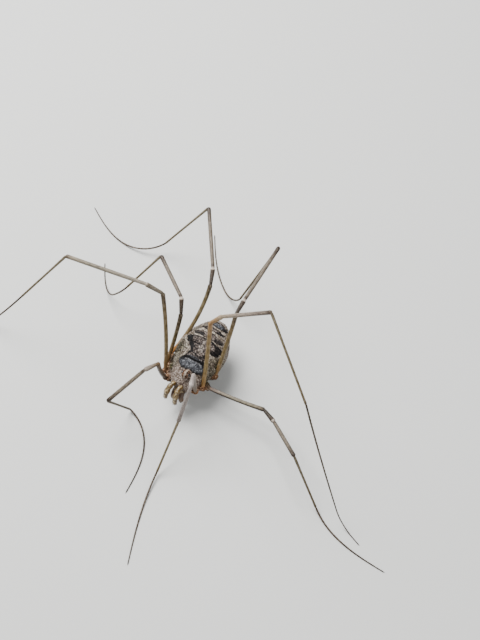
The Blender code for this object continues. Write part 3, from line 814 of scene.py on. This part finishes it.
legShape = {
    "lengths": {
        1: (5.8, 1.4, 5.0, 5.7, 9.5),
        2: (9.8, 1.9, 8.3, 8.8, 18.5),
        3: (6.4, 1.6, 5.2, 6.2, 9.0),
        4: (8.6, 1.7, 6.9, 9.4, 11.0),
    },
    # radius just past the joint, along the shaft, and at the swollen far end
    "radii": {
        "femur": (0.19, 0.205, 0.235),
        "patella": (0.19, 0.225, 0.245),
        "tibia": (0.185, 0.2, 0.215),
        "metatarsus": (0.14, 0.115, 0.12),
        "tarsus": (0.095, 0.08, 0.05),
    },
    "neck": 0.8,  # the joint's own radius, as a share of what it joins
    "shaftStep": 0.55,
    "footPiece": 0.42,
    "footFlare": 1.14,
    "sag": 0.2,
    "inward": {("right", 2): 0.2, ("right", 4): 0.42},
    "landingHeight": 2.0,
    "footStep": 0.3,
    "turns": {
        ("left", 1): ((28, 78.5), (19, 11), (-15, -67), (-2, -40), (4, 18, -20)),
        ("left", 2): ((-177, 77), (107, 54), (82, 49), (53.5, -35), (60, 66, -66)),
        ("left", 3): ((90, 9.5), (64.5, -1), (50, 21), (62, -50.5), (50, 85, -30)),
        ("left", 4): ((169, 67), (-179, 0), (178, 2), (-49, -65), (-105, -150, -60)),
        ("right", 1): ((-12, 74.7), (38, -8), (34, -33), (-161, -65), (-74, -2, -20)),
        ("right", 2): ((154, 69.5), (79.5, 29), (83, 2), (58.5, -53), (58, 80, -53)),
        ("right", 3): ((-173.5, 63.5), (154, 31), (128, 2), (52, -52), (60, 150, -55)),
        ("right", 4): ((-166.5, 42.5), (160, 14), (148, 5.5), (73.5, -58.5), (45, 125, -30)),
    },
}
lengthNames = ("femur", "patella", "tibia", "metatarsus", "tarsus")


def heading(side, bearing, rise):
    b, r = math.radians(bearing), math.radians(rise)
    return Vector((sideSign(side) * math.sin(b) * math.cos(r), -math.cos(b) * math.cos(r), math.sin(r)))


def thighLine(side, pair):  # bowed a little, from the middle of its knob
    start = hipPoints(side, pair)[1]
    way = heading(side, *legShape["turns"][side, pair][0])
    below = (way * way.z - Vector((0, 0, 1))).normalized()
    inward = Vector((-sideSign(side) * legShape["inward"].get((side, pair), 0), 0, 0))
    bow = below * legShape["sag"] + inward
    reach = legShape["lengths"][pair][0]
    line = []
    for i in range(13):
        t = i / 12
        line.append(start + way * reach * t + bow * 4 * t * (1 - t))
    return line


def footLine(side, start, turns, length):  # down to its landing height, then eased onto the floor
    first, last, rise = turns
    count = round(length / legShape["footStep"])
    points = [start]
    for i, rest in enumerate(spread(legShape["radii"]["tarsus"], count + 1)[1:]):
        ease = math.sqrt(min(max(points[-1].z - rest, 0.0) / legShape["landingHeight"], 1.0))
        bearing = first + (last - first) * math.sin((i + 0.5) / count * math.pi / 2)
        point = points[-1] + heading(side, bearing, rise * ease) * length / count
        point.z = max(point.z, rest)
        points.append(point)
    return points


def legLine(side, pair):  # the whole leg's line and where along it each joint falls
    thigh = thighLine(side, pair)
    corners = [thigh[-1]]
    turns, lengths = legShape["turns"][side, pair], legShape["lengths"][pair]
    for turn, length in zip(turns[1:4], lengths[1:4]):
        corners.append(corners[-1] + heading(side, *turn) * length)
    foot = footLine(side, corners[-1], turns[4], lengths[4])
    middle, joints = rounded([thigh[-2], *corners, foot[1]], 0.22, 8)
    thighRun = sum((b - a).length for a, b in zip(thigh[:-1], thigh[1:-1]))
    line = thigh[:-2] + middle + foot[2:]
    return line, [0.0] + [thighRun + run for run in joints[1:5]] + [pathLength(line)]


def pathLength(points):
    return sum((b - a).length for a, b in zip(points, points[1:]))


def legRings(joints):
    rings = []
    for name, start, end in zip(lengthNames, joints, joints[1:]):
        root, shaft, tip = legShape["radii"][name]
        neck = legShape["neck"]
        if name == "tarsus":
            count = round((end - start) / legShape["footPiece"])
            for i, radius in enumerate(spread((root, shaft, tip), count)):
                at, piece = start + (end - start) * i / count, (end - start) / count
                rings += [(at + 0.02, radius * 0.88), (at + piece * 0.2, radius)]
                rings.append((at + piece * 0.86, radius * legShape["footFlare"]))
            rings += [(end + 0.02, tip * 0.9), (end + 0.05, tip * 0.5)]
            continue
        rings += [(start + 0.02, root * neck), (start + 0.08, root * 0.94), (start + 0.22, root)]
        count = round((end - start - 1.0) / legShape["shaftStep"])
        for i, radius in enumerate(spread((root, shaft, shaft, tip * 0.94), max(count, 2))):
            rings.append((start + 0.45 + (end - start - 0.95) * i / max(count - 1, 1), radius))
        rings += [(end - 0.3, tip * 0.98), (end - 0.12, tip), (end - 0.06, tip * 0.93), (end - 0.02, tip * neck)]
    return rings


thorns = {"pitch": 0.21, "height": 0.05, "ridges": 5}


def thornRows(joints, pair):
    rows = []
    for name, start, end in list(zip(lengthNames, joints, joints[1:]))[:3]:
        root, shaft, tip = legShape["radii"][name]
        for i in range(thorns["ridges"]):
            offset = (i % 2) * thorns["pitch"] / 2
            turn = 2 * math.pi * i / thorns["ridges"]
            scale = 1.0 if name == "femur" else 0.75
            row = thornRow(
                "thorns",
                start + 0.35 + offset,
                end - 0.3,
                thorns["pitch"] / scale,
                shaft * 1.04,
                thorns["height"] * scale,
                turn,
            )
            rows.append(row)
    return rows


def markRun(limb, joints):  # how far along the leg each point is, for its rings of colour
    run = limb.data.attributes.new("legRun", "FLOAT_VECTOR", "POINT")
    for vert in limb.data.vertices:
        x = min(max(vert.co.x, joints[0]), joints[-1])
        index = max(i for i in range(len(joints) - 1) if x >= joints[i])
        share = (x - joints[index]) / (joints[index + 1] - joints[index])
        away = max(math.hypot(vert.co.y, vert.co.z), 1e-6)
        run.data[vert.index].vector = ((index + share) / 5, vert.co.y / away, vert.co.z / away)


# Cuticle of the legs: satin, ochre to olive, with pale ridges, dark knees, a pale ring at each knee's end, and painted
# shade on the undersides
legColours = {
    # along each part: its share from 0 to 1 and the colour there
    "parts": {
        "femur": ((0.0, "#6a4428"), (0.06, "#725531"), (0.3, "#6a5a38"), (0.75, "#665433"), (0.97, "#3d2e1c")),
        "patella": ((0.03, "#1f1712"), (0.5, "#291f18"), (0.86, "#35291f"), (0.93, "#b3a596"), (0.985, "#bdb0a2")),
        "tibia": ((0.03, "#382c23"), (0.1, "#61574b"), (0.7, "#5f5549"), (0.9, "#3a3028"), (0.99, "#2d241d")),
        "metatarsus": ((0.05, "#655b47"), (0.5, "#625741"), (0.95, "#54472f")),
        "tarsus": ((0.02, "#33271c"), (0.25, "#43362a"), (1.0, "#291e17")),
    },
    # where a leg differs from the rest
    "changes": {
        ("left", 1): {
            "femur": ((0.0, "#7a4422"), (0.1, "#776350"), (0.5, "#80746a"), (0.97, "#8d837c")),
            "patella": ((0.03, "#8c827d"), (0.5, "#827873"), (0.95, "#a39a94")),
            "tibia": ((0.03, "#857b76"), (0.7, "#7d7470"), (0.93, "#6a605a")),
        },
        ("left", 2): {
            "femur": ((0.0, "#7a4422"), (0.06, "#836236"), (0.3, "#7b673e"), (0.75, "#776038"), (0.97, "#84623a")),
            "patella": ((0.03, "#7d5c35"), (0.5, "#86673f"), (0.95, "#8f7c64")),
            "tibia": ((0.03, "#857663"), (0.5, "#786c62"), (0.9, "#574b42"), (0.99, "#43382f")),
        },
        ("left", 3): {
            "femur": ((0.0, "#8b6a5c"), (0.08, "#857469"), (0.35, "#746d5e"), (0.8, "#6c6452"), (0.97, "#4a4033")),
        },
        ("right", 1): {
            "femur": ((0.0, "#743f1c"), (0.1, "#3f280f"), (0.5, "#38230d"), (0.97, "#4c3217")),
            "patella": ((0.03, "#55432f"), (0.5, "#6f6357"), (0.95, "#857a6e")),
        },
        ("right", 2): {
            "patella": ((0.03, "#5c5345"), (0.5, "#6a6358"), (0.9, "#5b5245"), (0.95, "#8a8072")),
            "tibia": ((0.03, "#7c7468"), (0.7, "#6f685a"), (0.93, "#7c7262"), (0.99, "#4a3e31")),
        },
        ("right", 3): {
            "femur": ((0.0, "#7a4422"), (0.06, "#6e4f2a"), (0.5, "#544628"), (0.97, "#352915")),
        },
        ("right", 4): {
            "femur": ((0.0, "#8f5528"), (0.12, "#9a6a38"), (0.3, "#6b583a"), (0.75, "#5f5234"), (0.97, "#382c19")),
        },
    },
    # how far down the painted shade on the underside starts, from 1 at the top to -1, and how dark it is
    "under": {"rest": (-0.55, 0.45), ("left", 3): (0.85, 0.9)},
    "pale": "#a39682",
    # used for the dark streaks and for the painted shade on the undersides
    "dark": "#1f1711",
}


def legRun(side, pair):  # the ramp of colours from knob to toe
    stops = []
    for i, name in enumerate(lengthNames):
        changes = legColours["changes"].get((side, pair), {})
        stops += [((i + share) / 5, colour) for share, colour in changes.get(name, legColours["parts"][name])]
    return stops


def legMaterial(name, run, starts, depth):
    material, tree, shader = newMaterial(name, 0.5, Specular_IOR_Level=0.2)
    runAt = addNode(tree, "ShaderNodeAttribute", attribute_name="legRun")
    where = addNode(tree, "ShaderNodeTexCoord")
    parts = addNode(tree, "ShaderNodeSeparateXYZ", {0: runAt.outputs["Vector"]})
    base = setRamp(addNode(tree, "ShaderNodeValToRGB", {0: parts.outputs["X"]}), run)
    streakAt = addNode(
        tree,
        "ShaderNodeVectorMath",
        {0: runAt.outputs["Vector"], 1: (60.0, 2.2, 2.2)},
        operation="MULTIPLY",
    )
    streaks = addNode(tree, "ShaderNodeTexNoise", {"Vector": streakAt.outputs[0], "Scale": 1.5, "Detail": 3.0})
    paleMask = addNode(tree, "ShaderNodeMapRange", {0: streaks.outputs[0], 1: 0.54, 2: 0.68, 3: 0.0, 4: 0.45})
    darkStreakAndShadeMask = addNode(tree, "ShaderNodeMapRange", {0: streaks.outputs[0], 1: 0.47, 2: 0.34, 3: 0.0, 4: 0.6})
    # painted shade along each leg's underside, mixed in with the dark streaks
    under = addNode(tree, "ShaderNodeMapRange", {0: parts.outputs["Z"], 1: starts, 2: starts - 0.3, 3: 0.0, 4: depth})
    darkStreakAndShadeMask = addNode(tree, "ShaderNodeMath", {0: darkStreakAndShadeMask.outputs[0], 1: under.outputs[0]}, operation="MAXIMUM")
    colour = addNode(
        tree,
        "ShaderNodeMix",
        {0: paleMask.outputs[0], 6: base.outputs[0], 7: linear(legColours["pale"])},
        data_type="RGBA",
    ).outputs[2]
    colour = addNode(
        tree, "ShaderNodeMix", {0: darkStreakAndShadeMask.outputs[0], 6: colour, 7: linear(legColours["dark"])}, data_type="RGBA"
    ).outputs[2]
    tree.links.new(colour, shader.inputs["Base Color"])
    skinGrain = addNode(tree, "ShaderNodeTexNoise", {"Vector": where.outputs["Object"], "Scale": 14000.0, "Detail": 2.0})
    bump = addNode(tree, "ShaderNodeBump", {"Height": skinGrain.outputs[0], "Strength": 0.35, "Distance": 0.00001})
    tree.links.new(bump.outputs[0], shader.inputs["Normal"])
    return material


def leg(side, pair):
    line, joints = legLine(side, pair)
    name = "leg_" + side + "_" + str(pair)
    limb = straightLimb(name + "_skin", legRings(joints), 20, {"height": 0.035, "count": 5})
    smoothed(limb)
    limb = joined(name + "_skin", [limb] + thornRows(joints, pair))
    markRun(limb, joints)
    bendAlong(limb, evenly(line, 0.25))
    nodes = [name + "_" + part for part in lengthNames]
    # where the leg's painted underside shade starts and how dark it is
    under = legColours["under"].get((side, pair), legColours["under"]["rest"])
    cuticle = legMaterial("satinCuticle_" + side + "_" + str(pair), legRun(side, pair), *under)
    finished(limb, cuticle, "femur", *nodes)
    return line


clawShape = {"radius": 0.042, "reach": 0.26, "pieces": 6, "droop": 62, "fall": 0.3, "lift": 0.012}


def clawAt(name, tip, way):  # one hooked claw, shaped once at the origin and set on the tip of the foot
    selectOnly()
    bpy.ops.mesh.primitive_circle_add(vertices=10, radius=clawShape["radius"], rotation=(0, math.pi / 2, 0))
    claw = bpy.context.object
    claw.name = name
    bpy.ops.object.transform_apply(location=True, rotation=True, scale=True)
    bpy.ops.object.mode_set(mode="EDIT")
    bpy.ops.mesh.select_all(action="SELECT")
    at = Vector((0, 0, 0))
    for i in range(clawShape["pieces"]):
        tilt = math.radians(clawShape["droop"]) * (i + 0.5) / clawShape["pieces"]
        fall = -math.sin(tilt) * clawShape["fall"]
        step = Vector((math.cos(tilt), 0, fall)) * clawShape["reach"] / clawShape["pieces"]
        at += step
        bpy.ops.mesh.extrude_region_move(TRANSFORM_OT_translate={"value": step})
        left = 1 - (i + 1) / clawShape["pieces"]
        before = 1 - i / clawShape["pieces"]
        size = max(left, 0.05) / before
        bpy.ops.transform.resize(value=(size, size, size), center_override=at)
    bpy.ops.mesh.merge(type="CENTER")
    bpy.ops.mesh.select_non_manifold()
    bpy.ops.mesh.edge_face_add()
    bpy.ops.object.mode_set(mode="OBJECT")
    outward(claw)
    flat = Vector((way.x, way.y, 0)).normalized()
    tip = tip + Vector((0, 0, clawShape["lift"]))
    claw.matrix_world = Matrix.Translation(tip) @ flat.to_track_quat("X", "Z").to_matrix().to_4x4()
    finished(claw, clawHorn, "tarsus")
    return claw


clawHorn = newMaterial("polishedClaw", 0.3, Base_Color=linear("#1c120c"), Specular_IOR_Level=0.5)[0]
for side in sides:
    for pair in pairs:
        line = leg(side, pair)
        clawAt("claw_" + side + "_" + str(pair), line[-1], line[-1] - line[-3])
        print("stage: leg", side, pair)


# Palps: four jointed pieces each, ridged, with fine stiff hairs and a small claw; jaws with swollen hands
palpShape = {
    "swing": {"left": -6.0, "right": -13.0},
    "pivot": (3.75, -0.09),
    "points": (
        (3.5, 0.4, 3.0),
        (3.8, 0.4, 3.3),
        (4.12, 0.4, 3.56),
        (4.44, 0.41, 3.64),
        (4.78, 0.43, 3.48),
        (5.04, 0.46, 3.1),
        (5.22, 0.48, 2.66),
        (5.28, 0.5, 2.24),
        (5.22, 0.5, 1.88),
    ),
    "joints": (0.0, 0.33, 0.48, 0.68, 1.0),
    "radii": ((0.2, 0.23, 0.25), (0.25, 0.28, 0.29), (0.27, 0.31, 0.29), (0.25, 0.23, 0.12)),
    "neck": 0.9,
    "clawReach": 0.14,
    "hairs": {"pitch": 0.15, "height": 0.075, "rows": 6},
}
jawShape = {
    "middle": 0.05,
    "stalk": (
        (3.5, 0.37, 2.54),
        (3.9, 0.37, 2.58),
        (4.26, 0.39, 2.54),
        (4.48, 0.41, 2.24),
        (4.52, 0.44, 1.8),
        (4.45, 0.43, 1.36),
    ),
    "radius": (0.26, 0.28, 0.28, 0.28, 0.28, 0.15),
    "finger": ((4.46, 0.42, 1.5), (4.52, 0.38, 1.2), (4.48, 0.33, 1.02), (4.42, 0.3, 0.88)),
    "thumb": ((4.42, 0.42, 1.5), (4.33, 0.38, 1.24), (4.31, 0.35, 1.05), (4.36, 0.32, 0.9)),
    "fingerRadius": (0.14, 0.1, 0.065, 0.03),
    "voxel": 0.03,
}


def palpPoint(side, place):
    ahead, left, up = place
    turn = math.radians(palpShape["swing"][side])
    forward = ahead - palpShape["pivot"][0]
    across = sideSign(side) * left
    swungAhead = palpShape["pivot"][0] + forward * math.cos(turn) - across * math.sin(turn)
    return spot(swungAhead, palpShape["pivot"][1] + forward * math.sin(turn) + across * math.cos(turn), up)


def softLine(points, parts):  # a smooth line through the points
    stations = [(i, *point) for i, point in enumerate(points)]
    count = (len(points) - 1) * parts
    return [Vector(between(stations, i / parts)) for i in range(count + 1)]


def palpRings(joints):
    rings = []
    for (root, shaft, tip), start, end in zip(palpShape["radii"], joints, joints[1:]):
        neck, reach = palpShape["neck"], end - start
        rings += [(start + 0.01, root * neck), (start + 0.05, root * 0.95), (start + 0.13, root)]
        for share in (0.4, 0.6):
            rings.append((start + reach * share, shaft))
        rings += [(end - 0.1, tip), (end - 0.04, tip * 0.95), (end - 0.01, tip * neck)]
    return rings


def palp(side):
    line = softLine([palpPoint(side, place) for place in palpShape["points"]], 5)
    whole = pathLength(line)
    joints = [share * whole for share in palpShape["joints"]]
    limb = straightLimb("palp_" + side, palpRings(joints), 18, {"height": 0.05, "count": 5})
    smoothed(limb)
    pieces, hairs = [limb], palpShape["hairs"]
    for (root, shaft, tip), start, end in zip(palpShape["radii"], joints, joints[1:]):
        for i in range(hairs["rows"]):
            turn = 2 * math.pi * (i + 0.5) / hairs["rows"]
            pieces.append(thornRow("hairs", start + 0.15, end - 0.08, hairs["pitch"], shaft, hairs["height"], turn))
    bpy.ops.mesh.primitive_cone_add(
        vertices=8,
        radius1=0.06,
        radius2=0.006,
        depth=palpShape["clawReach"],
        location=(whole + palpShape["clawReach"] / 2 - 0.02, 0, 0),
        rotation=(0, math.pi / 2, 0),
    )
    limb = joined("palp_" + side, pieces + [bpy.context.object])
    markRun(limb, joints)
    bendAlong(limb, evenly(line + [line[-1] + (line[-1] - line[-2]).normalized() * 0.2], 0.06))
    return limb


def jaw(side):
    pieces = []
    for name, radiusName in (("stalk", "radius"), ("finger", "fingerRadius"), ("thumb", "fingerRadius")):
        line = softLine(
            [spot(ahead, sideSign(side) * left + jawShape["middle"], up) for ahead, left, up in jawShape[name]], 5
        )
        sizes = softLine([(radius, 0, 0) for radius in jawShape[radiusName]], 5)
        run = [pathLength(line[: i + 1]) for i in range(len(line))]
        piece = straightLimb(name, [(x, size.x) for x, size in zip(run, sizes)], 16, {"height": 0.0, "count": 1})
        bendAlong(piece, evenly(line, 0.08))
        pieces.append(piece)
    whole = joined("jaw_" + side, pieces)
    fuse = whole.modifiers.new("fuse", "REMESH")
    fuse.mode = "VOXEL"
    fuse.voxel_size = jawShape["voxel"]
    soften = whole.modifiers.new("soften", "SMOOTH")
    soften.iterations = 3
    applyModifiers(whole)
    # how far down the jaw a point is, for a ramp that darkens downwards as painted shade
    run = whole.data.attributes.new("legRun", "FLOAT_VECTOR", "POINT")
    high, low = jawShape["stalk"][1][2], jawShape["thumb"][-1][2]
    for vert in whole.data.vertices:
        fall = min(max((high - vert.co.z) / (high - low), 0.0), 1.0)
        run.data[vert.index].vector = (fall * 0.8, 0, vert.normal.z)
    return whole


# Cuticle of the mouthparts: satin, honey-tan, with a cream painted highlight on the upward-facing sides, brown painted
# shade on the downward-facing sides and dark tips; the jaws are darker overall, as painted shade
mouthColours = {
    "palp": (
        (0.0, "#46300f"),
        (0.05, "#61471f"),
        (0.18, "#695026"),
        (0.2, "#3b2610"),
        (0.23, "#624a20"),
        (0.38, "#6a5227"),
        (0.4, "#3b2610"),
        (0.43, "#664e22"),
        (0.58, "#654e23"),
        (0.605, "#35220f"),
        (0.64, "#5c461e"),
        (0.74, "#4d391b"),
        (0.785, "#352411"),
        (0.8, "#20140a"),
    ),
    # darker than the palps and darkest at the bottom: painted shade where the jaws lie under and between the palps
    "jaw": (
        (0.0, "#3f2814"),
        (0.2, "#4d3319"),
        (0.5, "#443016"),
        (0.62, "#33220f"),
        (0.7, "#1c1109"),
        (0.8, "#120b07"),
    ),
    # painted highlight along the upward-facing side
    "cream": "#c9b893",
    # painted shade on the downward-facing side, also used for random blotches
    "blotchAndShadeBrown": "#352311",
}


def mouthMaterial(name, run):
    material, tree, shader = newMaterial(name, 0.42, Specular_IOR_Level=0.5)
    parts = addNode(
        tree,
        "ShaderNodeSeparateXYZ",
        {0: addNode(tree, "ShaderNodeAttribute", attribute_name="legRun").outputs["Vector"]},
    )
    where = addNode(tree, "ShaderNodeTexCoord").outputs["Object"]
    patchy = addNode(tree, "ShaderNodeTexNoise", {"Vector": where, "Scale": 5200.0, "Detail": 4.0}).outputs[0]
    colour = setRamp(addNode(tree, "ShaderNodeValToRGB", {0: parts.outputs["X"]}), run).outputs[0]
    frayed = addNode(tree, "ShaderNodeMapRange", {0: patchy, 1: 0.3, 2: 0.7, 3: -0.25, 4: 0.25}).outputs[0]
    upness = addNode(tree, "ShaderNodeMath", {0: parts.outputs["Z"], 1: frayed}, operation="ADD").outputs[0]
    # cream painted highlight where the surface faces up, brown painted shade where it faces down
    for tint, low, high, most in (("cream", 0.86, 1.08, 0.6), ("blotchAndShadeBrown", -0.1, -0.6, 0.8)):
        mask = addNode(tree, "ShaderNodeMapRange", {0: upness, 1: low, 2: high, 3: 0.0, 4: most}).outputs[0]
        past = addNode(tree, "ShaderNodeMapRange", {0: parts.outputs["X"], 1: 0.68, 2: 0.76, 3: 1.0, 4: 0.2}).outputs[0]
        mask = addNode(tree, "ShaderNodeMath", {0: mask, 1: past}, operation="MULTIPLY").outputs[0]
        colour = addNode(
            tree, "ShaderNodeMix", {0: mask, 6: colour, 7: linear(mouthColours[tint])}, data_type="RGBA"
        ).outputs[2]
    blotched = addNode(tree, "ShaderNodeMapRange", {0: patchy, 1: 0.46, 2: 0.34, 3: 0.0, 4: 0.6}).outputs[0]
    colour = addNode(
        tree, "ShaderNodeMix", {0: blotched, 6: colour, 7: linear(mouthColours["blotchAndShadeBrown"])}, data_type="RGBA"
    ).outputs[2]
    tree.links.new(colour, shader.inputs["Base Color"])
    bump = addNode(tree, "ShaderNodeBump", {"Height": patchy, "Strength": 0.4, "Distance": 0.00002})
    tree.links.new(bump.outputs[0], shader.inputs["Normal"])
    return material


palpSkin = mouthMaterial("honeyCuticle", mouthColours["palp"])
shadedJawSkin = mouthMaterial("honeyCuticleInPaintedShade", mouthColours["jaw"])
for side in sides:
    finished(palp(side), palpSkin, "mouthparts", "pedipalp_" + side)
    finished(jaw(side), shadedJawSkin, "mouthparts", "chelicera_" + side)
print("stage: mouthparts done")


# Floor, light and camera
floorLook = {"reach": 4.0, "colour": "#c9c9c6"}
selectOnly()
bpy.ops.mesh.primitive_plane_add(size=floorLook["reach"])
floor = bpy.context.object
floor.name = "floor"
floor.data.materials.append(newMaterial("mattFloor", 0.85, Base_Color=linear(floorLook["colour"]))[0])

world = bpy.data.worlds.new("studio")
bpy.context.scene.world = world
world.use_nodes = True
world.node_tree.nodes["Background"].inputs["Color"].default_value = linear("#e4e8ec")
world.node_tree.nodes["Background"].inputs["Strength"].default_value = 0.45


def softLight(name, place, aim, size, power):  # places in millimetres
    bpy.ops.object.light_add(type="AREA", location=Vector(place) / 1000)
    light = bpy.context.object
    light.name = name
    light.data.size = size / 1000
    light.data.energy = power
    light.rotation_euler = (Vector(aim) - Vector(place)).to_track_quat("-Z", "Y").to_euler()


softLight("keyLight", (-100, 50, 180), (0, 0, 0), 140, 1.3)
softLight("fillLight", (160, -120, 120), (0, 0, 0), 200, 0.25)

cameraShape = {
    "position": (32.924, -52.973, 118.18),
    "right": (0.8829, 0.4695, 0.0),
    "up": (-0.4066, 0.7647, 0.5),
    "back": (0.2347, -0.4415, 0.866),
    "focalPixels": 1300,
    "longSide": 640,
}
camera = bpy.data.objects.new("camera", bpy.data.cameras.new("camera"))
bpy.context.scene.collection.objects.link(camera)
camera.data.sensor_width = 36.0
camera.data.lens = 36.0 * cameraShape["focalPixels"] / cameraShape["longSide"]
camera.data.clip_start = 0.001
turned = Matrix((cameraShape["right"], cameraShape["up"], cameraShape["back"])).transposed()
stand = Vector(cameraShape["position"]) + Vector((pose["bodyMiddle"][0], -pose["bodyMiddle"][1], 0))
camera.matrix_world = Matrix.Translation(stand / 1000) @ turned.to_4x4()
bpy.context.scene.camera = camera
print("stage: floor, light and camera done")
